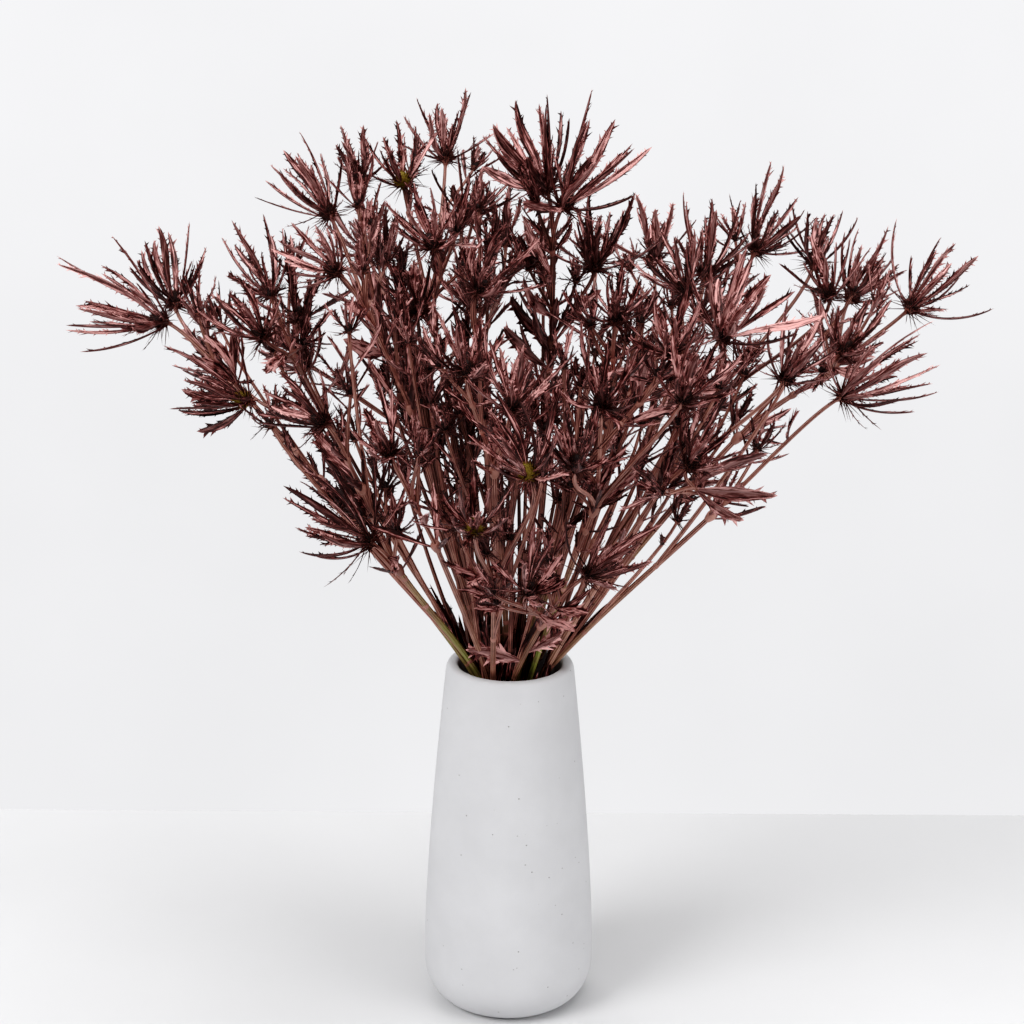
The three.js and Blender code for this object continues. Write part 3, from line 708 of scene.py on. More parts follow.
# Broad leaves that stand out of the bunch: their stem, foot, tip and half width.
STANDING_LEAVES = (
    ("stem_single_high_left", (-81, -60, 471), (-101, -66, 492), 6.2),
    ("stem_single_high_left", (-81, -62, 470), (-84, -68, 492), 5.4),
    ("stem_left_fan", (-127, -10, 425), (-120, -16, 470), 4.4),
    ("stem_left_fan", (-112, 0, 420), (-99, -20, 465), 5.0),
    ("stem_high_left", (-80, -10, 440), (-104, -30, 462), 5.6),
    ("stem_far_left", (-177, -30, 440), (-188, -36, 466), 6.0),
    ("stem_far_left", (-172, -26, 446), (-168, -32, 475), 3.6),
    ("stem_far_left", (-177, -50, 447), (-201, -56, 436), 4.6),
    ("stem_far_left", (-173, -60, 448), (-191, -66, 412), 4.4),
    ("stem_low_right", (117, -90, 385), (153, -96, 410), 5.4),
    ("stem_low_right", (119, -90, 377), (160, -96, 383), 5.8),
    ("stem_low_right", (118, -90, 378), (140, -96, 367), 4.4),
    ("stem_front_right", (94, -178, 461), (102, -184, 491), 4.0),
    ("stem_single_inner_right", (69, -125, 444), (81, -131, 479), 4.4),
    ("stem_low_right", (153, -66, 417), (173, -72, 430), 4.0),
    ("stem_tallest", (29, -66, 550), (5, -72, 554), 4.4),
    ("stem_tallest", (24, -60, 479), (20, -66, 511), 6.6),
    ("stem_tallest", (25, 0, 452), (-2, -26, 489), 5.2),
    ("stem_tallest", (26, -12, 470), (6, -40, 505), 6.2),
    ("stem_tallest", (25, 0, 436), (-6, -22, 469), 5.6),
    ("stem_tallest", (25, 0, 447), (14, -30, 487), 5.4),
    ("stem_inner_right", (48, -110, 485), (63, -116, 508), 4.6),
)
# The two lobed ones that lie over the vase's lip.
LOBED_LEAVES = (
    ("stem_front_low", (8, -32, 256), (-29, -38, 262), 6.8),
    ("stem_front_low", (11, -36, 261), (33, -42, 275), 4.2),
)


@dataclass
class Head:
    """A flower head as it stands: its cone's base, the way it faces, its size and its blades."""

    at: Vec
    axis: Vec
    bract: float
    size: float
    name: str
    phase: float
    opening: float = 80.0
    green: float = 0.0
    blades: list[Blade] = field(default_factory=list)
    slips: list[Blade] = field(default_factory=list)

    def share(self, least: float) -> float:
        """The share of a full head's measure that this head has, from a least one up."""
        return least + (1 - least) * self.size


@dataclass
class Stalk:
    """A stem or branch: its line of points with radii, its ribs and how green it is at its foot."""

    points: Vec
    radii: Vec
    ribs: int
    green: float = 0.0


@dataclass
class Plant:
    """One cut stem as it stands, with all that grows on it."""

    plan: StemPlan
    owner: int
    stalks: list[Stalk] = field(default_factory=list)
    heads: list[Head] = field(default_factory=list)
    collars: list[tuple[Vec, Vec, float]] = field(default_factory=list)
    leaves: list[Blade] = field(default_factory=list)
    broad_leaves: list[Blade] = field(default_factory=list)
    lobed_leaves: list[Blade] = field(default_factory=list)
    sheaths: list[Blade] = field(default_factory=list)
    branches: list[Vec] = field(default_factory=list)
    fork_directions: list[Vec] = field(default_factory=list)


def stem_stops(plan: StemPlan) -> tuple[list[Vec], list[Vec]]:
    """The points that a main stem passes, from its foot to its last fork, and its directions there.

    Args:
        plan: The stem's plan.

    Returns:
        The points and the directions.
    """
    x, y = plan.lip
    stops = [
        np.array((x * FOOT_IN, y * FOOT_IN, FOOT_HEIGHT)),
        np.array((x * WAIST_IN, y * WAIST_IN, WAIST_HEIGHT)),
        np.array((x, y, LIP_HEIGHT)),
        *(np.array(fork, float) for fork in plan.forks),
    ]
    last = len(stops) - 1
    directions = [unit(stops[min(i + 1, last)] - stops[max(i - 1, 0)]) for i in range(len(stops))]
    to_fork = unit(stops[3] - stops[2])
    directions[2] = unit(directions[2] + (to_fork - directions[2]) * LIP_BEND)
    return stops, directions


def stem_line(stops: Sequence[Vec], directions: Sequence[Vec], step: float) -> Vec:
    """A main stem's line through its stops.

    Args:
        stops: The points that it passes.
        directions: Its directions there.
        step: The longest step to take.

    Returns:
        The line's points.
    """
    line = [stops[0]]
    for i in range(len(stops) - 1):
        length = float(np.linalg.norm(stops[i + 1] - stops[i]))
        steps = math.ceil(length / step)
        for k in range(1, steps + 1):
            leaving, arriving = directions[i] * length, directions[i + 1] * length
            line.append(hermite(stops[i], leaving, stops[i + 1], arriving, k / steps))
    return np.array(line)


def branch_line(fork: Vec, direction: Vec, at: Vec, faces: Vec, steps: int) -> Vec:
    """A branch's line from its fork to a head.

    Args:
        fork: Where it leaves its stem.
        direction: The stem's direction there.
        at: Where its head stands.
        faces: The way that its head faces.
        steps: How many steps to take.

    Returns:
        The line's points.
    """
    reach = at - fork
    length = float(np.linalg.norm(reach))
    leaving = unit(reach / length + direction * BRANCH_FOLLOW) * length
    arriving = faces * length * BRANCH_ARRIVAL
    return np.array([hermite(fork, leaving, at, arriving, k / steps) for k in range(steps + 1)])


def point_at(line: Vec, height: float) -> int:
    """The number of a line's point that is nearest to a height."""
    return int(np.argmin(np.abs(line[:, 2] - height)))


def inward(along: Vec, at: Vec) -> float:
    """The angle round a stalk of its side that faces the vase's axis."""
    return angle_towards(along, np.array((0.0, 0.0, at[2])) - at)


def is_bare(branch: Vec) -> bool:
    """Whether a branch ends so far out that it grows no shoots near its head."""
    return math.hypot(branch[-1][0], branch[-1][1]) > BARE_BEYOND


class Grower:
    """Grows every stem as the solids have it, then the finer growth between."""

    def __init__(self, low: Vec, high: Vec) -> None:
        """Takes the solids' box, in millimetres."""
        self.room = Room(low, high)
        self.plants = [Plant(plan, owner) for owner, plan in enumerate(STEMS)]

    def grow(self) -> list[Plant]:
        """All stems, grown a kind at a time, so that the finer kinds give way to the main ones.

        Returns:
            The stems.
        """
        self.keep_lip_clear()
        for grow_kind in (self.set_lines, self.set_heads, self.set_whorls, self.add_bracts):
            for plant in self.plants:
                grow_kind(plant)
        self.add_standing_leaves()
        for grow_kind in (
            self.add_sheaths, self.add_broad_leaves, self.add_shoots, self.add_stem_leaves, self.add_slips
        ):
            for plant in self.plants:
                grow_kind(plant)
        return self.plants

    def keep_lip_clear(self) -> None:
        """Keeps the vase's lip free of blades."""
        angles = np.linspace(0, FULL_TURN, LIP_POINTS)
        x, y = LIP_RADIUS * np.cos(angles), LIP_RADIUS * np.sin(angles)
        ring = np.stack((x, y, np.full(LIP_POINTS, LIP_MIDDLE)), 1)
        self.room.keep(("vase",), ring, np.full(LIP_POINTS, LIP_THICK))

    def set_lines(self, plant: Plant) -> None:
        """The lines of a stem and its branches, and where its cones stand.

        Args:
            plant: The plant.
        """
        name = plant.plan.name
        stops, directions = stem_stops(plant.plan)
        plant.fork_directions = directions[3:]
        line = stem_line(stops, directions, STEM_STEP)
        self.room.keep((name,), line, np.linspace(*STEM_RADII, len(line)))
        fine = stem_line(stops, directions, FINE_STEP)
        green = GREEN_STEMS.get(name, Run.GREEN.draws(plant.owner)(*GREEN_STALK))
        plant.stalks.append(Stalk(fine, np.linspace(*STEM_RADII, len(fine)), STEM_RIBS, green))
        for i, head in enumerate(plant.plan.heads):
            at, faces = np.array(head.at, float), unit(np.array(head.faces, float))
            fork, leaving = np.array(plant.plan.forks[head.fork], float), plant.fork_directions[head.fork]
            head_name = f"{name}_{i}"
            path = branch_line(fork, leaving, at, faces, BRANCH_STEPS)
            self.room.keep((name, head_name), path, np.linspace(*BRANCH_RADII, len(path)))
            cone = np.array((at, at + faces * CONE_TOP * CONE_KEPT))
            self.room.keep((head_name,), cone, np.array((CONE_RADIUS, CONE_RADIUS * CONE_TAPER)))
            fine = branch_line(fork, leaving, at - faces * CONE_SINK, faces, FINE_BRANCH_STEPS)
            plant.stalks.append(Stalk(fine, np.linspace(*BRANCH_RADII, len(fine)), BRANCH_RIBS))
            plant.branches.append(fine)

    def set_heads(self, plant: Plant) -> None:
        """Each head's main bracts, where the solids have them.

        Args:
            plant: The plant.
        """
        for i, plan in enumerate(plant.plan.heads):
            draws = Draws(HEAD_RUNS * plant.owner + i)
            phase = draws() * FULL_TURN
            name = f"{plant.plan.name}_{i}"
            at, axis = np.array(plan.at, float), unit(np.array(plan.faces, float))
            facets = MANY_FACETS if plan.bract >= MANY_FACETS_FROM else FACETS
            core = Core(at, axis, CONE_HEIGHTS, facets, phase)
            rows = [
                replace(row, length=plan.bract * BRACT_LENGTH, length_play=plan.bract * BRACT_LENGTH_PLAY)
                for row in (OUTER_BRACT, INNER_BRACT)
            ]
            blades = core.grow(self.room, name, rows, draws)
            green = GREEN_CONE if name in GREEN_CONES else 0.0
            plant.heads.append(Head(at, axis, plan.bract, 1.0, name, phase, green=green, blades=blades))

    def set_whorls(self, plant: Plant) -> None:
        """The leaves at a stem's forks, where the solids have them.

        Args:
            plant: The plant.
        """
        for i, fork in enumerate(plant.plan.forks):
            draws = Draws(HEAD_RUNS * plant.owner + WHORL_RUNS + i)
            phase = draws() * FULL_TURN
            at, axis = np.array(fork, float), plant.fork_directions[i]
            core = Core(at, axis, COLLAR_HEIGHTS, WHORL_FACETS, phase)
            plant.leaves += core.grow(self.room, plant.plan.name, (WHORL_LEAF,), draws)
            plant.collars.append((at, axis, 1.0))

    def add_blade(self, blades: list[Blade], blade: Blade, joined: str) -> None:
        """Adds a finer blade to others, where it finds room inside the box."""
        placed = self.room.place(blade, joined, -blade.half_width * OVERLAP, boxed=True)
        blades += [placed] if placed else []

    def add_leaf(
        self, leaves: list[Blade], kind: LeafKind, at: Vec, along: Vec, azimuth: float, joined: str,
        draws: Draws, scale: float = 1.0, size: float = 1.0,
    ) -> None:
        """Adds a finer leaf to others, where it finds room.

        Args:
            leaves: What to add it to.
            kind: How it may stand.
            at: Where on the stalk it grows.
            along: The stalk's direction there.
            azimuth: Its angle round the stalk.
            joined: The name of what it grows from.
            draws: The numbers to vary it by.
            scale: What its length is a share of.
            size: Its head's size.
        """
        lean, curl = draws(*kind.lean), draws(*kind.curl)
        length, half_width = scale * draws(*kind.length), draws(*kind.half_width)
        leaf = stand(at, along, azimuth, lean, curl, length, half_width, kind.root_out * size)
        self.add_blade(leaves, leaf, joined)

    def add_bracts(self, plant: Plant) -> None:
        """The finer rows of bracts on each head, between its main ones.

        Args:
            plant: The plant.
        """
        for i, head in enumerate(plant.heads):
            counts = FULL_RUFF if head.bract >= FULL_RUFF_FROM else RUFF
            self.fill_ruff(head, counts, Run.BRACTS.draws(plant.owner, i))

    def fill_ruff(self, head: Head, counts: tuple[int, int], draws: Draws) -> None:
        """Fills a head's ruff with wide-spread and steep bracts.

        Args:
            head: The head.
            counts: How many spread wide, and how many stand steep.
            draws: The numbers to vary them by.
        """
        for row, count in zip((WIDE_ROW, STEEP_ROW), counts):
            for k in range(count):
                azimuth = head.phase + FULL_TURN * (k + draws()) / count
                down = facing_down(head.axis, azimuth)
                lean = head.opening * draws(*row.lean) * (1 - UNDERSIDE_LEAN * down)
                curl, length = draws(*RUFF_CURL), head.bract * draws(*row.length)
                half_width = RUFF_HALF_WIDTH * head.share(LEAST_WIDTH) * draws(*RUFF_WIDTHS)
                at, root_out = head.at + head.axis * row.height * head.size, RUFF_ROOT * head.size
                bract = stand(at, head.axis, azimuth, lean, curl, length, half_width, root_out)
                self.add_blade(head.blades, bract, head.name)

    def add_shoots(self, plant: Plant) -> None:
        """Side shoots with small heads, from the stem's branches and from the stem.

        Args:
            plant: The plant.
        """
        for i, branch in enumerate(plant.branches):
            draws = Run.SHOOTS.draws(plant.owner, i)
            length = float(np.linalg.norm(np.diff(branch, axis=0), axis=1).sum())
            places = BRANCH_SHOOTS[: 2 if length > TWO_SHOOTS_FROM else 1]
            for place in BARE_BRANCH_SHOOTS if is_bare(branch) else places:
                k = int((place + draws(*SHOOT_PLACE_PLAY)) * (len(branch) - 1))
                length = draws(*BRANCH_SHOOT_LENGTH)
                self.add_shoot(plant, branch, k, f"{i}_{k}", length, BRANCH_SHOOT_SPREAD, draws)
        stem, fork = plant.stalks[0].points, plant.plan.forks[-1]
        draws = Run.STEM_SHOOTS.draws(plant.owner)
        height = draws(*FIRST_SHOOT)
        past = (math.hypot(fork[0], fork[1]) - APART_FROM) / APART_OVER
        apart = 1.0 + APART_BY * max(0.0, min(1.0, past))
        while height < fork[2] - SHOOTS_END_BELOW:
            k = point_at(stem, height)
            length = draws(*STEM_SHOOT_LENGTH) - max(0.0, height - SHORTER_FROM) * SHORTER_BY
            length = max(length, draws(*SHOOT_TOP) - height)
            self.add_shoot(plant, stem, k, f"stem_{k}", length, draws(*STEM_SHOOT_SPREAD), draws)
            height += draws(*(LOW_STEPS if height < HIGH_STEPS_FROM else HIGH_STEPS)) * apart

    def add_shoot(
        self, plant: Plant, line: Vec, k: int, tag: str, length: float, spread: float, draws: Draws
    ) -> None:
        """One side shoot with a pair of leaves at its foot, where it finds room.

        Args:
            plant: The stem that it grows on.
            line: The line of the stem or branch.
            k: The point of the line that it leaves at.
            tag: What to name it by.
            length: Its length.
            spread: How far it stands out at its end, as a share of its length.
            draws: The numbers to vary it by.
        """
        k = min(k, len(line) - 2)
        at, along = line[k], unit(line[k + 1] - line[k])
        start = inward(along, at) + draws(*SHOOT_PLAY)
        bract = draws(*SHOOT_BRACT)
        low = at[2] < LEAFLESS_BELOW
        radius = LOW_SHOOT_RADIUS if low else HIGH_SHOOT_RADIUS
        name = f"{plant.plan.name}_shoot_{tag}"
        for turn in SHOOT_TURNS:
            radial = radial_at(along, start + turn)
            faces = unit(along * FACES_ALONG + radial * spread + UP * FACES_UP)
            end = at + (along * SHOOT_ALONG + radial * spread) * length
            path = branch_line(at, along, end, faces, SHOOT_STEPS)
            reach = Reach(frozenset((plant.plan.name, name)), path, np.full(len(path), radius))
            bud = Reach(frozenset((name,)), np.array((end, end + faces * BUD_LENGTH)), np.array(BUD_RADII))
            held = self.room.holds(end + faces * bract * BRACT_REACH, SHOOT_MARGIN)
            if held and all(self.room.clearance.is_clear(part, SHOOT_GAP) for part in (reach, bud)):
                self.room.clearance.add(reach)
                self.room.clearance.add(bud)
                radii = np.linspace(radius, SHOOT_TOP_RADIUS, len(path))
                plant.stalks.append(Stalk(path, radii, BRANCH_RIBS))
                head = Head(end + faces, faces, bract, SHOOT_SIZE, name, start, draws(*SHOOT_OPENING))
                plant.heads.append(head)
                self.fill_ruff(head, SHOOT_RUFF, draws)
                joint, after = path[LEAFY_POINT], path[LEAFY_POINT + 1]
                self.add_leaves(plant, joint, unit(after - joint), start, 1 if low else 2, draws)
                plant.collars.append((at, along, SHOOT_COLLAR))
                break
        if not low:
            self.add_leaves(plant, at, along, start, 2, draws)

    def add_leaves(self, plant: Plant, at: Vec, along: Vec, start: float, count: int, draws: Draws) -> None:
        """A few leaves round a joint of a stalk.

        Args:
            plant: The stem that they grow on.
            at: The joint.
            along: The stalk's direction there.
            start: The first leaf's angle round the stalk.
            count: How many leaves.
            draws: The numbers to vary them by.
        """
        for k in range(count):
            azimuth = start + math.pi * (k * 2 / count + LEAF_TURN) + draws(*LEAF_PLAY)
            self.add_leaf(plant.leaves, JOINT_LEAF, at, along, azimuth, plant.plan.name, draws)

    def add_standing_leaves(self) -> None:
        """The broad leaves that stand out of the bunch, and the lobed ones over the lip."""
        plants = {plant.plan.name: plant for plant in self.plants}
        for stem, *leaf in STANDING_LEAVES:
            plants[stem].broad_leaves.append(self.standing_leaf(plants[stem], *leaf))
        for stem, *leaf in LOBED_LEAVES:
            plants[stem].lobed_leaves.append(self.standing_leaf(plants[stem], *leaf))

    def standing_leaf(self, plant: Plant, root: Point, tip: Point, half_width: float) -> Blade:
        """A broad leaf from the nearest stalk of a stem, kept clear of what grows later.

        Args:
            plant: The stem.
            root: The point that its foot is nearest to.
            tip: Its tip.
            half_width: Half its width.

        Returns:
            The leaf.
        """
        lines = np.vstack([stalk.points for stalk in plant.stalks])
        foot = lines[int(np.argmin(np.linalg.norm(lines - np.array(root, float), axis=1)))]
        rise = np.array(tip, float) - foot
        axis = unit(rise)
        over = max(0.0, foot[2] - FACE_UP_FROM)
        out = np.array((foot[0], foot[1], FACE_UP + over * FACE_UP_GAIN))
        if over > 0 and math.hypot(foot[0], foot[1]) < NEAR_AXIS:
            out[1] -= TO_FRONT
        radial = unit(out - axis * float(out @ axis))
        leaf = Blade(foot, axis, radial, *STANDING_BOW, float(np.linalg.norm(rise)), half_width, 0.0, 0.0)
        self.room.keep((plant.plan.name,), leaf.points(REACH_SHARES), REACH_WIDTHS * half_width)
        return leaf

    def add_sheaths(self, plant: Plant) -> None:
        """The withered leaf sheaths that stand steeply round a stem at the vase's mouth.

        Args:
            plant: The plant.
        """
        line = plant.stalks[0].points
        draws = Run.SHEATHS.draws(plant.owner)
        for _ in range(SHEATHS):
            k = point_at(line, draws(*SHEATH_HEIGHTS))
            along = unit(line[k + 1] - line[k])
            azimuth = inward(along, line[k]) + draws(*SHEATH_PLAY)
            self.add_leaf(plant.sheaths, SHEATH, line[k], along, azimuth, plant.plan.name, draws)

    def add_broad_leaves(self, plant: Plant) -> None:
        """The broad spiny leaves that the upper branches stand in.

        Args:
            plant: The plant.
        """
        draws = Run.BROAD_LEAVES.draws(plant.owner)
        for line in plant.branches:
            k = int(draws(*BROAD_PLACE) * (BARE_PLACE if is_bare(line) else 1.0) * (len(line) - 1))
            along = unit(line[k + 1] - line[k])
            azimuth = draws() * FULL_TURN
            self.add_leaf(plant.broad_leaves, BROAD_LEAF, line[k], along, azimuth, plant.plan.name, draws)

    def add_stem_leaves(self, plant: Plant) -> None:
        """Leaves at the joints of a main stem, between the lip and its forks.

        Args:
            plant: The plant.
        """
        line = plant.stalks[0].points
        draws = Run.STEM_LEAVES.draws(plant.owner)
        height = draws(*FIRST_LEAF)
        while height < plant.plan.forks[-1][2] - LEAVES_END_BELOW:
            k = point_at(line, height)
            along = unit(line[min(k + 1, len(line) - 1)] - line[k - 1])
            self.add_leaves(plant, line[k], along, draws() * FULL_TURN, 2, draws)
            plant.collars.append((line[k], along, JOINT_COLLAR))
            height += draws(*LEAF_STEPS)

    def add_slips(self, plant: Plant) -> None:
        """The thin spiny bracts that stand among the broad ones.

        Args:
            plant: The plant.
        """
        for i, head in enumerate(plant.heads):
            draws = Run.SLIPS.draws(plant.owner, i)
            count = SLIPS if head.size == 1.0 else SHOOT_SLIPS
            for k in range(count):
                at = head.at + head.axis * draws(*SLIP_PLACE) * head.size
                azimuth = head.phase + FULL_TURN * (k + draws()) / count
                self.add_leaf(
                    head.slips, SLIP, at, head.axis, azimuth, head.name, draws, head.bract, head.size
                )


# ---- Meshes ----
# A small spike's faces, between three corners at its foot and a tip.
SPIKE_FACES = ((0, 1, 3), (1, 2, 3), (2, 0, 3), (0, 2, 1))


class Sculpt:
    """Gathers points and faces, and each point's growth: its place along and across, tone and mark."""

    def __init__(self) -> None:
        """Starts empty."""
        self.points: list[Vec] = []
        self.growth: list[Vec] = []
        self.faces: list[tuple[int, ...]] = []
        self.count = 0

    def add(self, points: Vec, growth: Vec, faces: Sequence[Sequence[int]]) -> None:
        """Adds points with faces.

        Args:
            points: The points.
            growth: The growth of each.
            faces: The points round each face, counted from the first of these.
        """
        start = self.count
        self.points.append(points)
        self.growth.append(growth)
        self.faces += [tuple(start + i for i in face) for face in faces]
        self.count += len(points)

    def keep_inside(self, low: Vec, high: Vec) -> None:
        """Brings back the teeth that pass the solids' box, from its low to its high corner, by a hair."""
        self.points = [np.clip(points, low, high) for points in self.points]

    def add_rings(
        self, rings: Vec, growth: Vec, tip: Vec | None = None, tip_growth: Sequence[float] = ()
    ) -> None:
        """Adds a closed skin through rings of points, with a point for its end where one is given.

        Args:
            rings: The rings, as rings by points by 3.
            growth: The growth of each point, as rings by points by 4.
            tip: The point that closes the end, or None for a flat end.
            tip_growth: The growth at that point.
        """
        count, around = rings.shape[:2]
        points, marks = rings.reshape(-1, 3), growth.reshape(-1, 4)
        faces: list[Sequence[int]] = [tuple(range(around))[::-1]]
        for k in range(count - 1):
            low, high = k * around, (k + 1) * around
            for i in range(around):
                j = (i + 1) % around
                faces.append((low + i, low + j, high + j, high + i))
        last = (count - 1) * around
        if tip is None:
            faces.append(tuple(range(last, last + around)))
        else:
            points = np.vstack((points, tip))
            marks = np.vstack((marks, np.asarray(tip_growth, float)))
            faces += [(last + i, last + (i + 1) % around, count * around) for i in range(around)]
        self.add(points, marks, faces)

    def build(self, name: str, finish: bpy.types.Material, crease: float) -> bpy.types.Object:
        """Makes the object in metres.

        Args:
            name: The piece's name.
            finish: Its material.
            crease: The angle past which an edge stays sharp, in degrees.

        Returns:
            The new object, in the scene.
        """
        mesh = bpy.data.meshes.new(name)
        mesh.from_pydata((np.vstack(self.points) * MM).tolist(), [], self.faces)
        marks = mesh.attributes.new("growth", "FLOAT_COLOR", "POINT")
        marks.data.foreach_set("color", np.vstack(self.growth).astype(np.float32).ravel())
        mesh.materials.append(finish)
        mesh.shade_smooth()
        mesh.set_sharp_from_angle(angle=math.radians(crease))
        piece = bpy.data.objects.new(name, mesh)
        bpy.context.scene.collection.objects.link(piece)
        return piece


def blade_width(share: Vec, fullest: float, foot: float, widening: float = 1.3, closing: float = 0.52) -> Vec:
    """The share of its width that a blade has along it.

    Args:
        share: The places, as shares of its length.
        fullest: Where it is widest.
        foot: How wide its foot is.
        widening: The power that it widens by.
        closing: The power that it closes by.

    Returns:
        The shares of its width.
    """
    rising = foot + (1 - foot) * np.sin(np.clip(share / fullest, 0, 1) * math.pi / 2) ** widening
    falling = np.clip((1 - share) / (1 - fullest), 0, 1) ** closing
    return np.where(share < fullest, rising, falling)


@dataclass(frozen=True)
class Teeth:
    """Teeth of one kind on a blade's edges: how many, between which shares, and their size and splay."""

    count: int
    low: float
    high: float
    length: Pair
    base: float
    splay: Pair


@dataclass(frozen=True)
class BladeCut:
    """How a kind of blade is cut: its segments, fold, fullest place, foot, thickness, width, twist, teeth."""

    segments: int
    fold: float
    fullest: float
    foot: float
    thickness: float
    widen: float
    twist: float
    teeth: tuple[Teeth, ...]


BRACT_CUT = BladeCut(14, 0.46, 0.62, 0.3, 0.62, 1.1, 0.8, (
    Teeth(3, 0.45, 0.9, (4.0, 7.6), 3.2, (0.22, 0.42)),
    Teeth(13, 0.16, 0.97, (1.8, 4.0), 1.5, (0.34, 0.7)),
    Teeth(3, 0.06, 0.3, (3.0, 8.0), 0.9, (0.3, 0.6)),
))
SMALL_BRACT_CUT = BladeCut(10, 0.46, 0.6, 0.32, 0.5, 1.08, 0.9, (
    Teeth(2, 0.42, 0.88, (3.0, 5.4), 2.4, (0.25, 0.45)),
    Teeth(8, 0.12, 0.97, (1.6, 3.4), 1.3, (0.34, 0.7)),
))
SLIP_CUT = BladeCut(6, 0.3, 0.3, 0.7, 0.42, 1.0, 1.2, (
    Teeth(5, 0.15, 0.9, (2.4, 5.0), 0.9, (0.3, 0.6)),
))
LEAF_CUT = BladeCut(12, 0.46, 0.6, 0.3, 0.6, 1.2, 0.9, (
    Teeth(3, 0.35, 0.86, (3.2, 6.4), 2.8, (0.25, 0.48)),
    Teeth(7, 0.1, 0.96, (1.6, 3.4), 1.1, (0.38, 0.75)),
))
BROAD_LEAF_CUT = BladeCut(13, 0.34, 0.55, 0.22, 0.6, 0.9, 0.8, (
    Teeth(6, 0.28, 0.9, (5.0, 9.0), 4.6, (0.3, 0.55)),
    Teeth(10, 0.15, 0.96, (1.8, 3.8), 1.2, (0.35, 0.7)),
))
LOBED_LEAF_CUT = BladeCut(14, 0.3, 0.5, 0.2, 0.6, 0.62, 0.3, (
    Teeth(9, 0.25, 0.94, (7.0, 11.0), 4.4, (0.4, 0.62)),
    Teeth(8, 0.2, 0.96, (3.0, 5.0), 1.4, (0.4, 0.7)),
))


def mix_rows(rows: Vec, low: int, share: float) -> Vec:
    """A row between two that follow each other."""
    return rows[low] * (1 - share) + rows[low + 1] * share


def spokes_round(axis: Vec, count: int) -> Vec:
    """Directions square to an axis, evenly round it.

    Args:
        axis: The axis.
        count: How many.

    Returns:
        The directions, one a row.
    """
    angles = np.arange(count) * FULL_TURN / count
    first, second = across(axis)
    return np.outer(np.cos(angles), first) + np.outer(np.sin(angles), second)


# How a blade varies: its segments crowd by a power, it bows and waves by shares of its length, its foot
# turns, its twist grows by a power, its fullest place moves and its tip is thinner.
CROWDING, BOW, WAVE, FOOT_TURN, TWISTING = 0.94, 0.05, 0.022, 0.3, 1.5
FULLEST_PLAY, THINNER_TIP = (-0.12, 0.08), 0.6
# The places across and the marks of a ring's four points: edge, fold, edge and back, whose mark paints the
# bract's underside in painted shade. Then other marks.
RING_SIDES, RING_MARKS = (1.0, 0.0, -1.0, 0.0), (0.5, 0.0, 0.5, 1.0)
TIP_MARK, TOOTH_FOOT_MARK, TOOTH_TIP_MARK, TOOTH_FOOT_SIDE = 0.3, 0.4, 0.5, 0.75
# A tooth: how far in from the edge it starts, its reach near the blade's tip, its reach forward with its
# splay, its hook and its thickness.
TOOTH_IN, TIP_TOOTH, TIP_TOOTH_GAIN = 0.35, 0.8, 0.85
TOOTH_FORWARD, TOOTH_HOOK, TOOTH_THICK = 1.05, 0.08, 0.45


@dataclass(frozen=True)
class BladeForm:
    """A blade's rows from foot to tip: rings of points, half widths, and the ways along, wide and deep."""

    rings: Vec
    half: Vec
    along: Vec
    wide: Vec
    deep: Vec


# How deep a stalk's ribs are, as a share of its radius.
RIB_DEPTH = 0.08
# Stalks inside the bunch are painted darker as shade: the bunch's radius at the lip, its gain with height,
# and how much.
BUNCH_RADIUS, BUNCH_GAIN, INNER_PAINTED_SHADE = 27, 0.37, 0.7
# A stalk that the dye missed is green up to this height, and fades to it from so far below.
GREEN_TOP, GREEN_FADE = 340, 80

# Turned forms as heights and radii from foot to top: the collar of a joint, the cup under a head's ruff and
# the core of its cone. So many points go round each.
COLLAR = ((-5.0, 2.0), (-3.0, 2.7), (-0.5, 3.3), (1.6, 3.2), (3.4, 2.2))
CALYX = ((-5.5, 1.1), (-3.5, 1.5), (-1.8, 2.7), (0.2, 4.0), (1.6, 4.2))
CONE = ((-1.5, 2.6), (0.5, 3.9), (2.8, 4.4), (5.2, 4.0), (7.4, 2.9), (9.0, 1.2))
TURNED_SIDES = 10

# A bristle: its sides and radius, where it bends, the share of its droop there, how thin it is there, and its
# growth, whose mark gives it part of the bract's painted-shade underside colour.
BRISTLE_SIDES, BRISTLE_RADIUS, BRISTLE_BEND, BENT_DROOP, BENT_RADIUS = 3, 0.4, 0.55, 0.2, 0.6
BRISTLE_GROWTH = (0.5, 0.4, 0.0, 0.8)

# The turn from one floret to the next, in radians, and the angles of a floret's three corners.
GOLDEN_TURN, FLORET_CORNERS = 2.39996, (0.0, 2.1, 4.2)


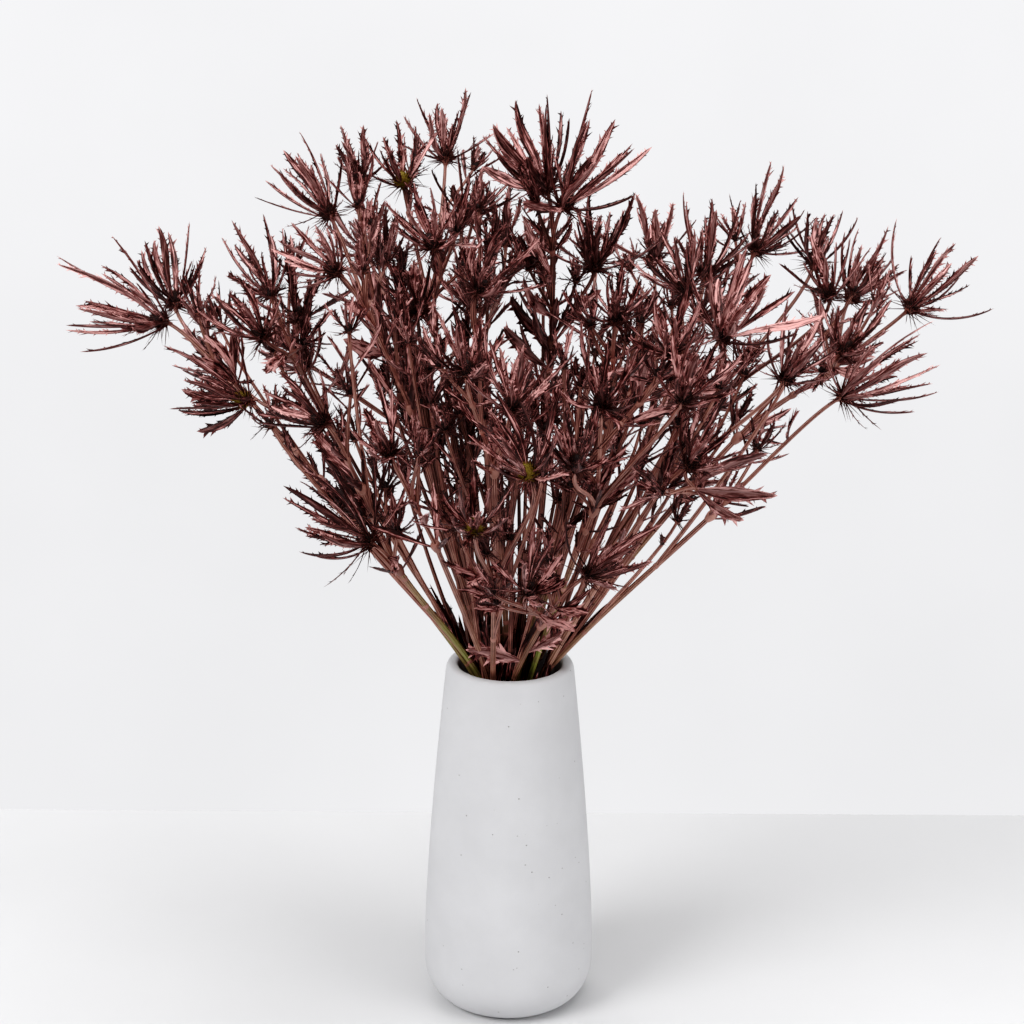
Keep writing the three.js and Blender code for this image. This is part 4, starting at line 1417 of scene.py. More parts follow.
class PlantSculpt(Sculpt):
    """Gathers a piece of a plant, and varies what it grows by one run of numbers."""

    def __init__(self, draws: Draws) -> None:
        """Starts empty."""
        super().__init__()
        self.draws = draws

    def shape_blade(self, blade: Blade, cut: BladeCut, shares: Vec) -> BladeForm:
        """The form of one folded blade.

        Args:
            blade: Where it stands.
            cut: How it is cut.
            shares: The places of its rings, as shares of its length.

        Returns:
            Its rows, of which the last ring is its tip.
        """
        draws = self.draws
        points, along = blade.points(shares), blade.tangents(shares)
        side = unit(np.cross(blade.axis, blade.radial))
        back = np.cross(side, along)
        bow, wave = draws(-BOW, BOW), draws(-WAVE, WAVE)
        sway = np.sin(shares * math.pi) * bow + np.sin(shares * 2 * math.pi) * wave
        points = points + side * (sway[:, None] * blade.length)
        twist = (shares**TWISTING * draws(-cut.twist, cut.twist) + draws(-FOOT_TURN, FOOT_TURN))[:, None]
        wide = side * np.cos(twist) + back * np.sin(twist)
        deep = back * np.cos(twist) - side * np.sin(twist)
        fullest = cut.fullest + draws(*FULLEST_PLAY)
        half = (blade.half_width * cut.widen * blade_width(shares, fullest, cut.foot))[:, None]
        lift = deep * half * cut.fold
        thick = deep * cut.thickness * (1 - shares[:, None] * THINNER_TIP)
        ring = (points + wide * half - lift, points, points - wide * half - lift, points + thick)
        return BladeForm(np.stack(ring, 1), half, along, wide, deep)

    def add_blade(self, blade: Blade, cut: BladeCut, tone: float) -> None:
        """Adds one folded blade with its teeth.

        Args:
            blade: Where it stands.
            cut: How it is cut.
            tone: How light it is, from 0 to 1.
        """
        shares = np.linspace(0, 1, cut.segments + 1) ** CROWDING
        form = self.shape_blade(blade, cut, shares)
        growth = np.zeros((len(shares), 4, 4))
        growth[:, :, 0] = shares[:, None]
        growth[:, :, 1] = RING_SIDES
        growth[:, :, 2] = tone
        growth[:, :, 3] = RING_MARKS
        self.add_rings(form.rings[:-1], growth[:-1], form.rings[-1:, 1], (1.0, 0.0, tone, TIP_MARK))
        for teeth in cut.teeth:
            self.add_teeth(form, teeth, blade.length, tone)

    def add_teeth(self, form: BladeForm, teeth: Teeth, length: float, tone: float) -> None:
        """Adds one kind of teeth along a blade's two edges by turns.

        Args:
            form: The blade's form.
            teeth: The kind of teeth.
            length: The blade's length.
            tone: How light the blade is.
        """
        draws, segments = self.draws, len(form.rings) - 1
        first = draws() < 0.5
        for k in range(teeth.count):
            share = teeth.low + (teeth.high - teeth.low) * (k + draws()) / teeth.count
            sign = 1.0 if (k % 2 == 0) == first else -1.0
            place = share * segments
            low = min(int(place), segments - 1)
            rest = place - low
            edge = mix_rows(form.rings[:, 0 if sign > 0 else 2], low, rest)
            forward = unit(mix_rows(form.along, low, rest))
            outward = unit(mix_rows(form.wide, low, rest)) * sign
            tilt = unit(mix_rows(form.deep, low, rest))
            inner = edge - outward * float(mix_rows(form.half, low, rest)[0]) * TOOTH_IN
            reach = min(draws(*teeth.length), TIP_TOOTH + TIP_TOOTH_GAIN * (1 - share) * length)
            splay = draws(*teeth.splay)
            tip = edge + outward * reach * splay + forward * reach * (TOOTH_FORWARD - splay)
            tip = tip - tilt * reach * TOOTH_HOOK
            span = forward * teeth.base / 2
            tooth = np.array((inner - span, inner + span, inner + tilt * TOOTH_THICK, tip))
            foot = (share, TOOTH_FOOT_SIDE * sign, tone, TOOTH_FOOT_MARK)
            self.add(tooth, np.array([foot] * 3 + [(share, sign, tone, TOOTH_TIP_MARK)]), SPIKE_FACES)

    def add_stalk(self, stalk: Stalk, tone: float) -> None:
        """Adds a ribbed stalk.

        Args:
            stalk: Its line, radii and ribs.
            tone: How light it is, from 0 to 1.
        """
        around, points = stalk.ribs * 2, stalk.points
        tangents = np.gradient(points, axis=0)
        tangents /= np.linalg.norm(tangents, axis=1)[:, None]
        side = across(tangents[0])[0]
        rings = np.zeros((len(points), around, 3))
        growth = np.zeros((len(points), around, 4))
        angles = np.arange(around) * FULL_TURN / around
        rib = np.where(np.arange(around) % 2 == 0, 1.0, -1.0)
        walked = np.concatenate(((0,), np.cumsum(np.linalg.norm(np.diff(points, axis=0), axis=1))))
        for k, point in enumerate(points):
            side = unit(side - tangents[k] * float(side @ tangents[k]))
            other = np.cross(tangents[k], side)
            radius = stalk.radii[k] * (1 + RIB_DEPTH * rib)
            # Painted shade: a stalk's tone is darker the nearer it lies to the bunch's middle.
            bunch = BUNCH_RADIUS + max(0.0, point[2] - LIP_HEIGHT) * BUNCH_GAIN
            inner = max(0.0, 1 - math.hypot(point[0], point[1]) / bunch)
            first, second = np.outer(np.cos(angles) * radius, side), np.outer(np.sin(angles) * radius, other)
            rings[k] = point + first + second
            growth[k, :, 0] = walked[k] / 100
            growth[k, :, 1] = rib
            growth[k, :, 2] = tone - INNER_PAINTED_SHADE * inner
            growth[k, :, 3] = stalk.green * max(0.0, min(1.0, (GREEN_TOP - point[2]) / GREEN_FADE))
        self.add_rings(rings, growth)

    def add_turned(
        self, at: Vec, axis: Vec, profile: Sequence[Pair], size: float,
        growth: Sequence[float],
    ) -> None:
        """Adds a small turned form on an axis.

        Args:
            at: Its place.
            axis: Its direction.
            profile: Its heights and radii, from foot to top.
            size: The size that it is scaled by.
            growth: The growth of all its points.
        """
        spokes = spokes_round(axis, TURNED_SIDES)
        rings = [at + axis * (height * size) + spokes * (radius * size) for height, radius in profile]
        self.add_rings(np.array(rings), np.tile(np.asarray(growth, float), (len(rings), TURNED_SIDES, 1)))

    def add_bristle(self, foot: Vec, direction: Vec, length: float, droop: float) -> None:
        """Adds a thin tapering bristle, bent a little.

        Args:
            foot: Where it starts.
            direction: Where it points.
            length: Its length.
            droop: How far it bends down along it, as a share of its length.
        """
        spokes = spokes_round(direction, BRISTLE_SIDES)
        middle = foot + direction * length * BRISTLE_BEND - UP * droop * length * BENT_DROOP
        rings = np.array((foot + spokes * BRISTLE_RADIUS, middle + spokes * BRISTLE_RADIUS * BENT_RADIUS))
        tip = (foot + direction * length - UP * droop * length)[None, :]
        self.add_rings(rings, np.tile(BRISTLE_GROWTH, (2, BRISTLE_SIDES, 1)), tip, BRISTLE_GROWTH)


# The bunch's half lengths round a middle height, and the shares of them at its outside and its heart.
BUNCH_HALF, BUNCH_MIDDLE, OUTSIDE, HEART = (260, 215, 285), 330, 0.8, 0.3


# Foliage deep in the bunch is painted darker by this depth, as shade.
def depth_of(at: Vec) -> float:
    """How deep in the bunch a place lies, from 0 at its outside to 1 at its heart.

    Args:
        at: The place.

    Returns:
        Its depth.
    """
    width, depth, height = BUNCH_HALF
    out = math.hypot(at[0] / width, at[1] / depth, (at[2] - BUNCH_MIDDLE) / height)
    return min(1.0, max(0.0, (OUTSIDE - out) / (OUTSIDE - HEART)))


# ---- Finishes ----
Socket = bpy.types.NodeSocket


def add_node(
    tree: bpy.types.NodeTree,
    kind: str,
    inputs: dict[str | int, object] | Sequence[object] = (),
    stops: Sequence[tuple[float, str]] = (),
    **settings: object,
) -> bpy.types.Node:
    """Adds a node with its settings, values and links.

    Args:
        tree: The tree to add it to.
        kind: Blender's name for the node, without ShaderNode.
        inputs: A value for each input, in order or by name, or the output or node that feeds it.
        stops: A ramp's places and colours.
        settings: The node's own settings.

    Returns:
        The new node.
    """
    node = tree.nodes.new(f"ShaderNode{kind}")
    for name, value in settings.items():
        setattr(node, name, value)
    for name, value in inputs.items() if isinstance(inputs, dict) else enumerate(inputs):
        source = value.outputs[0] if isinstance(value, bpy.types.Node) else value
        if isinstance(source, Socket):
            tree.links.new(source, node.inputs[name])
        else:
            node.inputs[name].default_value = source
    for k, (place, colour) in enumerate(stops):
        ramp = node.color_ramp
        stop = ramp.elements[k] if k < 2 else ramp.elements.new(place)
        stop.position, stop.color = place, linear(colour)
    return node


def read_growth(tree: bpy.types.NodeTree) -> tuple[Socket, Socket, Socket, Socket]:
    """A point's growth: its place along, its place across, its tone and its mark.

    Args:
        tree: The material's nodes.

    Returns:
        The four of them.
    """
    grown = add_node(tree, "Attribute", attribute_name="growth")
    along, side, tone = add_node(tree, "SeparateColor", (grown,)).outputs
    return along, side, tone, grown.outputs["Alpha"]


# A span holds the two ends of what comes in and the two ends of what that becomes.
Span = tuple[float, float, float, float]
# The places of the two colours and the result among a colour mix's sockets.
FIRST, SECOND, MIXED = 6, 7, 2


@dataclass(frozen=True)
class Coat:
    """A finish: its material's name, and its surface's index of refraction and roughness."""

    name: str = "coat"
    ior: float = 1.47
    roughness: float = 0.5

    def feed(self, tree: bpy.types.NodeTree) -> dict[str, object]:
        """What feeds the surface's inputs, apart from its index and an even roughness."""
        raise NotImplementedError

    def make(self) -> bpy.types.Material:
        """Makes the material.

        Returns:
            The material.
        """
        material = bpy.data.materials.new(self.name)
        material.use_nodes = True
        tree = material.node_tree
        tree.nodes.clear()
        output = add_node(tree, "OutputMaterial")
        even = {"Roughness": self.roughness, "IOR": self.ior}
        surface = add_node(tree, "BsdfPrincipled", {**even, **self.feed(tree)})
        tree.links.new(surface.outputs[0], output.inputs["Surface"])
        return material


@dataclass(frozen=True)
class DyedBract(Coat):
    """Dried sea holly leaf, dip-dyed copper brown and lightly waxed.

    The dye pools between the parallel veins and thins along the fold, so a blade has dark streaks beside a
    pink one; that pink along the fold is also a painted highlight, and the blade's underside is painted
    dark as shade. The wax gives the raised face a satin shine.
    """

    name: str = "dyed_dried_leaf_waxed"
    deep: str = "#240604"
    dark: str = "#552a27"
    middle: str = "#9a6663"
    light: str = "#eab2ad"
    # The underside's colour is a painted shade, darker than the blade's face.
    underside: str = "#3f1e1b"
    vein_mm: float = 0.5
    streaks_along: float = 4.5
    shift_by_tone: float = 61.0
    roughness: float = 0.55
    waxed: float = 0.32
    specular: float = 0.36
    streak_span: Span = (0.34, 0.66, 0.07, 0.93)
    fold_highlight_span: Span = (0.04, 0.55, 0.2, -0.08)
    tone_span: Span = (-0.5, 1.1, -0.52, 0.36)
    painted_shade_underside_span: Span = (0.5, 0.9, 0.0, 0.75)

    def feed(self, tree: bpy.types.NodeTree) -> dict[str, object]:
        """Streaks of dye along the veins, a fold lightened partly as painted highlight, and painted shade
        below.

        Args:
            tree: The material's nodes.

        Returns:
            What feeds the shader's inputs.
        """
        along, side, tone, mark = read_growth(tree)
        shift = add_node(tree, "Math", (tone, self.shift_by_tone), operation="MULTIPLY")
        # Veins run the blade's length, so the streaks are drawn longer than wide.
        strip = add_node(tree, "CombineXYZ", (along, side, shift))
        stretch = (self.streaks_along, 1.5 / self.vein_mm, 1.0)
        drawn = add_node(tree, "VectorMath", (strip, stretch), operation="MULTIPLY")
        noise = add_node(tree, "TexNoise", {"Vector": drawn, "Scale": 1.0, "Detail": 3.0, "Roughness": 0.6})
        streaks = add_node(tree, "MapRange", (noise, *self.streak_span))
        # The fold is lighter, partly as a painted highlight along the midrib, and the edges a little darker.
        middle_out = add_node(tree, "Math", (side,), operation="ABSOLUTE")
        fold = add_node(tree, "MapRange", (middle_out, *self.fold_highlight_span), interpolation_type="SMOOTHSTEP")
        # The tone carries the blade's own lightness, with the painted shade deep in the bunch and on the
        # stems at the left.
        toned = add_node(tree, "MapRange", (tone, *self.tone_span))
        lift = add_node(tree, "Math", (streaks, toned), operation="ADD")
        shade = add_node(tree, "Math", (lift, fold), operation="ADD")
        ramp = ((0.16, self.deep), (0.86, self.light), (0.38, self.dark), (0.6, self.middle))
        face = add_node(tree, "ValToRGB", (shade,), stops=ramp)
        # Painted shade: the blade's back, marked 1, is mixed towards the dark underside colour.
        below = add_node(tree, "MapRange", (mark, *self.painted_shade_underside_span))
        faces = {"Factor": below, FIRST: face, SECOND: linear(self.underside)}
        colour = add_node(tree, "Mix", faces, data_type="RGBA")
        gloss = add_node(tree, "MapRange", (streaks, 0.0, 1.0, self.roughness, self.waxed))
        bump = add_node(tree, "Bump", {"Height": streaks, "Strength": 0.5, "Distance": 0.0005})
        return {
            "Base Color": colour.outputs[MIXED], "Roughness": gloss, "Normal": bump,
            "Specular IOR Level": self.specular,
        }


@dataclass(frozen=True)
class DyedStalk(Coat):
    """Ribbed dried stalk, dyed with the leaves: pink ribs, dark grooves, and olive where dye missed it."""

    name: str = "dyed_dried_stalk_ribbed"
    groove: str = "#3e1d18"
    rib: str = "#c08d80"
    middle: str = "#8a5c52"
    undyed: str = "#767d3c"
    # Blotches of dye about 12 mm long, as how many lie along, across and through the stalk's growth.
    blotches: Point = (8.0, 0.8, 1.0)
    shift_by_tone: float = 47.0
    rib_span: Span = (-1.0, 1.0, -0.2, 0.14)
    tone_span: Span = (-0.7, 1.0, -0.32, 0.15)
    undyed_span: Span = (0.35, 0.6, 0.25, 1.0)

    def feed(self, tree: bpy.types.NodeTree) -> dict[str, object]:
        """Blotches of dye along the ribs, and the green where it missed.

        Args:
            tree: The material's nodes.

        Returns:
            What feeds the shader's inputs.
        """
        along, rib, tone, mark = read_growth(tree)
        shift = add_node(tree, "Math", (tone, self.shift_by_tone), operation="MULTIPLY")
        strip = add_node(tree, "CombineXYZ", (along, rib, shift))
        drawn = add_node(tree, "VectorMath", (strip, self.blotches), operation="MULTIPLY")
        blotch = add_node(tree, "TexNoise", {"Vector": drawn, "Scale": 1.0, "Detail": 4.0, "Roughness": 0.62})
        ribbed = add_node(tree, "MapRange", (rib, *self.rib_span))
        # The tone carries the stalk's own lightness and the painted shade inside the bunch.
        toned = add_node(tree, "MapRange", (tone, *self.tone_span))
        lift = add_node(tree, "Math", (blotch, ribbed), operation="ADD")
        shade = add_node(tree, "Math", (lift, toned), operation="ADD")
        ramp = ((0.22, self.groove), (0.78, self.rib), (0.5, self.middle))
        skin = add_node(tree, "ValToRGB", (shade,), stops=ramp)
        missed = add_node(tree, "MapRange", (blotch, *self.undyed_span))
        bare = add_node(tree, "Math", (mark, missed), operation="MULTIPLY", use_clamp=True)
        skins = {"Factor": bare, FIRST: skin, SECOND: linear(self.undyed)}
        colour = add_node(tree, "Mix", skins, data_type="RGBA")
        bump = add_node(tree, "Bump", {"Height": blotch, "Strength": 0.4, "Distance": 0.0005})
        return {"Base Color": colour.outputs[MIXED], "Normal": bump}


@dataclass(frozen=True)
class DriedFloret(Coat):
    """Dried florets of a cone: dark and dull in the heart, browner at the tips, green where dye missed."""

    name: str = "dried_floret_dull"
    heart: str = "#1d0b0a"
    tip: str = "#7d4d44"
    undyed: str = "#8f7d30"
    ior: float = 1.45
    roughness: float = 0.72

    def feed(self, tree: bpy.types.NodeTree) -> dict[str, object]:
        """The dyed colour along a floret, and the green where the dye missed.

        Args:
            tree: The material's nodes.

        Returns:
            What feeds the shader's inputs.
        """
        along, _, _, mark = read_growth(tree)
        dyes = {"Factor": along, FIRST: linear(self.heart), SECOND: linear(self.tip)}
        dyed = add_node(tree, "Mix", dyes, data_type="RGBA")
        skins = {"Factor": mark, FIRST: dyed.outputs[MIXED], SECOND: linear(self.undyed)}
        colour = add_node(tree, "Mix", skins, data_type="RGBA")
        return {"Base Color": colour.outputs[MIXED]}


@dataclass(frozen=True)
class MattStoneware(Coat):
    """Cast stoneware, fired unglazed: chalky and pale, with faint clouding, a sandy grain and small pits."""

    name: str = "stoneware_cast_unglazed"
    pale: str = "#cfcfd1"
    shade: str = "#c8c8ca"
    pit: str = "#8e8c8a"
    ior: float = 1.52
    roughness: float = 0.86
    cloud_scale: float = 22.0
    grain_mm: float = 0.6
    pit_mm: float = 9.0
    pit_span: Span = (0.03, 0.07, 1.0, 0.0)

    def feed(self, tree: bpy.types.NodeTree) -> dict[str, object]:
        """Clouded clay with its grain, and pits of about half a millimetre, one in each cell of a pattern.

        Args:
            tree: The material's nodes.

        Returns:
            What feeds the shader's inputs.
        """
        where = add_node(tree, "TexCoord").outputs["Object"]
        clouds = add_node(
            tree, "TexNoise", {"Vector": where, "Scale": self.cloud_scale, "Detail": 5.0, "Roughness": 0.6}
        )
        clay = add_node(tree, "ValToRGB", (clouds,), stops=((0.3, self.shade), (0.68, self.pale)))
        grain = add_node(tree, "TexNoise", {"Vector": where, "Scale": 1000 / self.grain_mm, "Detail": 2.0})
        cells = {"Vector": where, "Scale": 1000 / self.pit_mm, "Randomness": 1.0}
        pits = add_node(tree, "TexVoronoi", cells)
        dip = add_node(tree, "MapRange", (pits, *self.pit_span))
        clays = {"Factor": dip, FIRST: clay, SECOND: linear(self.pit)}
        colour = add_node(tree, "Mix", clays, data_type="RGBA")
        sanded = add_node(tree, "Bump", {"Height": grain, "Strength": 0.22, "Distance": 0.0003})
        dips = {"Height": dip, "Strength": 0.6, "Distance": 0.0005, "Normal": sanded}
        pitted = add_node(tree, "Bump", dips, invert=True)
        return {"Base Color": colour.outputs[MIXED], "Normal": pitted}


@dataclass(frozen=True)
class PaintedBoard(Coat):
    """Board painted matt white, for the object to stand on."""

    name: str = "board_painted_matt"
    paint: str = "#d6d6d7"
    thin_paint: str = "#d3d3d4"
    ior: float = 1.5
    roughness: float = 0.92
    cloud_scale: float = 5.0

    def feed(self, tree: bpy.types.NodeTree) -> dict[str, object]:
        """Paint that is a little uneven.

        Args:
            tree: The material's nodes.

        Returns:
            What feeds the shader's inputs.
        """
        where = add_node(tree, "TexCoord").outputs["Object"]
        clouds = add_node(tree, "TexNoise", {"Vector": where, "Scale": self.cloud_scale, "Detail": 5.0})
        paint = add_node(tree, "ValToRGB", (clouds,), stops=((0.3, self.thin_paint), (0.7, self.paint)))
        return {"Base Color": paint}


class Finish(Enum):
    """The finishes of the object's pieces."""

    BRACT = DyedBract()
    STALK = DyedStalk()
    FLORET = DriedFloret()
    STONEWARE = MattStoneware()

    def get(self) -> bpy.types.Material:
        """The finish's material, made the first time it is asked for."""
        return bpy.data.materials.get(self.value.name) or self.value.make()


# ---- Sub-assemblies ----
def dress(
    sculpt: Sculpt, name: str, node: str, finish: Finish, crease: float
) -> bpy.types.Object:
    """Makes a piece in place of a node.

    Args:
        sculpt: Its points and faces.
        name: Its name.
        node: The node of the frame that it stands for.
        finish: Its finish.
        crease: The angle past which an edge stays sharp, in degrees.

    Returns:
        The new object, in the scene.
    """
    piece = sculpt.build(name, finish.get(), crease)
    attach(piece, "root")
    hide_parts(node)
    return piece


@dataclass
class Vase:
    """The vase: a tapered shell with a rounded heel and lip."""

    height: float = 240.0
    mouth_radius: float = 41.5
    belly_radius: float = 56.7
    belly_top: float = 42.0
    heel_height: float = 27.0
    flat_radius: float = 36.0
    wall: float = 8.0
    floor: float = 12.0
    taper_power: float = 1.4
    lip_power: float = 0.8
    # How far over the heel the side starts, and where the inside leaves the wall and meets the floor.
    side_from: float = 4.0
    inside_from: float = 12.0
    inside_foot: Pair = (4.0, 3.0)
    around: int = 160
    heel_steps: int = 14
    side_steps: int = 44
    lip_steps: int = 15
    inside_steps: int = 30

    def radius(self, height: float) -> float:
        """Its outer radius at a height.

        Args:
            height: The height.

        Returns:
            The radius.
        """
        if height < self.heel_height:
            below = 1 - height / self.heel_height
            return self.flat_radius + (self.belly_radius - self.flat_radius) * math.sqrt(1 - below**2)
        above = max(0.0, (height - self.belly_top) / (self.height - self.belly_top))
        return self.belly_radius - (self.belly_radius - self.mouth_radius) * above**self.taper_power

    def profile(self) -> list[Pair]:
        """Its section's radii and heights, from the middle of its foot up, over the lip and down inside.

        Returns:
            The radii and heights.
        """
        turn = self.wall / 2
        rise = 1 - np.cos(np.linspace(0, math.pi / 2, self.heel_steps))
        side = np.linspace(self.heel_height + self.side_from, self.height - turn, self.side_steps)
        inside = np.linspace(self.height - turn, self.floor + self.inside_from, self.inside_steps)
        middle = self.mouth_radius - turn
        line = [(0.0, 0.0), (self.flat_radius * 0.5, 0.0)]
        line += [(self.radius(height), height) for height in (*(self.heel_height * rise), *side)]
        for angle in np.linspace(0, math.pi, self.lip_steps)[1:-1]:
            # The lip is a flattened round, as a fettled edge is.
            out = math.copysign(abs(math.cos(angle)) ** self.lip_power, math.cos(angle))
            up = math.sin(angle) ** self.lip_power
            line.append((middle + turn * out, self.height - turn + turn * up))
        line += [(self.radius(height) - self.wall, height) for height in inside]
        out, up = self.inside_foot
        line.append((self.flat_radius + out, self.floor + up))
        return [*line, (self.flat_radius, self.floor), (0.0, self.floor)]

    def build(self) -> bpy.types.Object:
        """Builds the vase in place of its solid.

        Returns:
            The piece.
        """
        section, around = self.profile()[1:-1], self.around
        angles = np.arange(around) * FULL_TURN / around
        rings = np.array([
            np.stack((radius * np.cos(angles), radius * np.sin(angles), np.full(around, height)), 1)
            for radius, height in section
        ])
        points = np.vstack((rings.reshape(-1, 3), ((0.0, 0.0, 0.0), (0.0, 0.0, self.floor))))
        faces = []
        for k in range(len(section) - 1):
            low, high = k * around, (k + 1) * around
            for i in range(around):
                j = (i + 1) % around
                faces.append((low + i, low + j, high + j, high + i))
        foot, inside = len(section) * around, len(section) * around + 1
        last = (len(section) - 1) * around
        for i in range(around):
            j = (i + 1) % around
            faces += [(foot, j, i), (last + i, last + j, inside)]
        sculpt = Sculpt()
        sculpt.add(points, np.zeros((len(points), 4)), faces)
        return dress(sculpt, "vase_shell", "vase", Finish.STONEWARE, crease=50)


@dataclass
class Stalks:
    """A plant's stem, branches, side shoots and collars, as one piece."""

    plant: Plant
    tone: Pair = (0.2, 0.8)
    tone_play: Pair = (-0.2, 0.2)
    collar_rib: float = 0.3
    calyx_rib: float = -0.2

    def build(self) -> bpy.types.Object:
        """Builds them.

        Returns:
            The piece.
        """
        plant, draws = self.plant, Run.STALKS.draws(self.plant.owner)
        sculpt = PlantSculpt(draws)
        base = draws(*self.tone)
        for stalk in plant.stalks:
            sculpt.add_stalk(stalk, min(1.0, max(0.0, base + draws(*self.tone_play))))
        for at, axis, size in plant.collars:
            sculpt.add_turned(at, axis, COLLAR, size, (draws(), self.collar_rib, base, 0.0))
        for head in plant.heads:
            growth = (draws(), self.calyx_rib, base, 0.0)
            sculpt.add_turned(head.at, head.axis, CALYX, head.size, growth)
        return dress(sculpt, f"{plant.plan.name}_stalks", plant.plan.name, Finish.STALK, crease=60)


@dataclass
class Foliage:
    """A plant's bracts, thin spiny bracts, leaves and bristles, as one piece inside the solids' box."""

    plant: Plant
    low: Vec
    high: Vec
    # How light the plant is, and how much lighter or darker each head and each kind of blade may be.
    tone: Pair = (0.31, 0.58)
    head_play: Pair = (-0.1, 0.1)
    bract_play: Pair = (-0.36, 0.38)
    slip_play: Pair = (-0.25, 0.2)
    leaf_play: Pair = (-0.25, 0.4)
    broad_play: Pair = (0.0, 0.5)
    sheath_tone: Pair = (-0.25, 0.25)
    lobed_tone: float = 0.85
    # What is lighter for its breadth, darker for its thinness, and darker deep in the bunch as painted shade.
    broad_lighter: float = 0.3
    slip_darker: float = 0.3
    painted_shade_deep_head: float = 0.25
    painted_shade_deep_leaf: float = 0.3
    bract_width: Pair = (0.7, 1.15)
    # How many bristles a head and a shoot's head have, and their lean, place, foot, length and droop.
    bristles: int = 44
    small_bristles: int = 12
    bristle_lean: Pair = (40, 125)
    bristle_place: Pair = (-3, 1.5)
    bristle_out: float = 2.2
    bristle_length: Pair = (7, 18)
    bristle_droop: Pair = (-0.1, 0.15)

    def build(self) -> bpy.types.Object:
        """Builds them.

        Returns:
            The piece.
        """
        plant, draws = self.plant, Run.FOLIAGE.draws(self.plant.owner)
        sculpt = PlantSculpt(draws)
        # Painted shade: the stems at the left start darker.
        base = draws(*self.tone) - LEFT_PAINTED_SHADE.get(plant.plan.name, 0.0)
        for head in plant.heads:
            self.add_head(sculpt, head, base)
        for leaf in plant.leaves:
            # Painted shade: leaves deep in the bunch are darker.
            tone = base + draws(*self.leaf_play) - self.painted_shade_deep_leaf * depth_of(leaf.root)
            sculpt.add_blade(leaf, LEAF_CUT, tone)
        for leaf in plant.broad_leaves:
            sculpt.add_blade(leaf, BROAD_LEAF_CUT, base + draws(*self.broad_play))
        for leaf in plant.lobed_leaves:
            sculpt.add_blade(leaf, LOBED_LEAF_CUT, self.lobed_tone)
        for sheath in plant.sheaths:
            sculpt.add_blade(sheath, LEAF_CUT, draws(*self.sheath_tone))
        sculpt.keep_inside(self.low, self.high)
        return dress(sculpt, f"{plant.plan.name}_foliage", plant.plan.name, Finish.BRACT, crease=35)

    def add_head(self, sculpt: PlantSculpt, head: Head, base: float) -> None:
        """Adds a head's bracts, thin bracts and bristles.

        Args:
            sculpt: What to add them to.
            head: The head.
            base: How light the plant is.
        """
        draws, cut = sculpt.draws, BRACT_CUT if head.size == 1.0 else SMALL_BRACT_CUT
        broad = BROAD_HEADS.get(head.name, 1.0)
        tone = base + draws(*self.head_play) + (broad - 1) * self.broad_lighter
        # Painted shade: heads deep in the bunch are darker.
        tone = tone - self.painted_shade_deep_head * depth_of(head.at)
        for blade in head.blades:
            blade = replace(blade, half_width=blade.half_width * broad * draws(*self.bract_width))
            sculpt.add_blade(blade, cut, tone + draws(*self.bract_play))
        for slip in head.slips:
            sculpt.add_blade(slip, SLIP_CUT, tone - self.slip_darker + draws(*self.slip_play))
        self.add_bristles(sculpt, head)

    def add_bristles(self, sculpt: PlantSculpt, head: Head) -> None:
        """Adds the tuft of bristles round a head's foot.

        Args:
            sculpt: What to add them to.
            head: The head.
        """
        draws, count = sculpt.draws, self.bristles if head.size == 1.0 else self.small_bristles
        for k in range(count):
            radial = radial_at(head.axis, FULL_TURN * (k + draws()) / count)
            lean = math.radians(draws(*self.bristle_lean))
            direction = head.axis * math.cos(lean) + radial * math.sin(lean)
            foot = head.at + head.axis * draws(*self.bristle_place) * head.size
            foot = foot + radial * self.bristle_out * head.size
            length = draws(*self.bristle_length) * head.share(LEAST_BRISTLE)
            sculpt.add_bristle(foot, direction, length, draws(*self.bristle_droop))


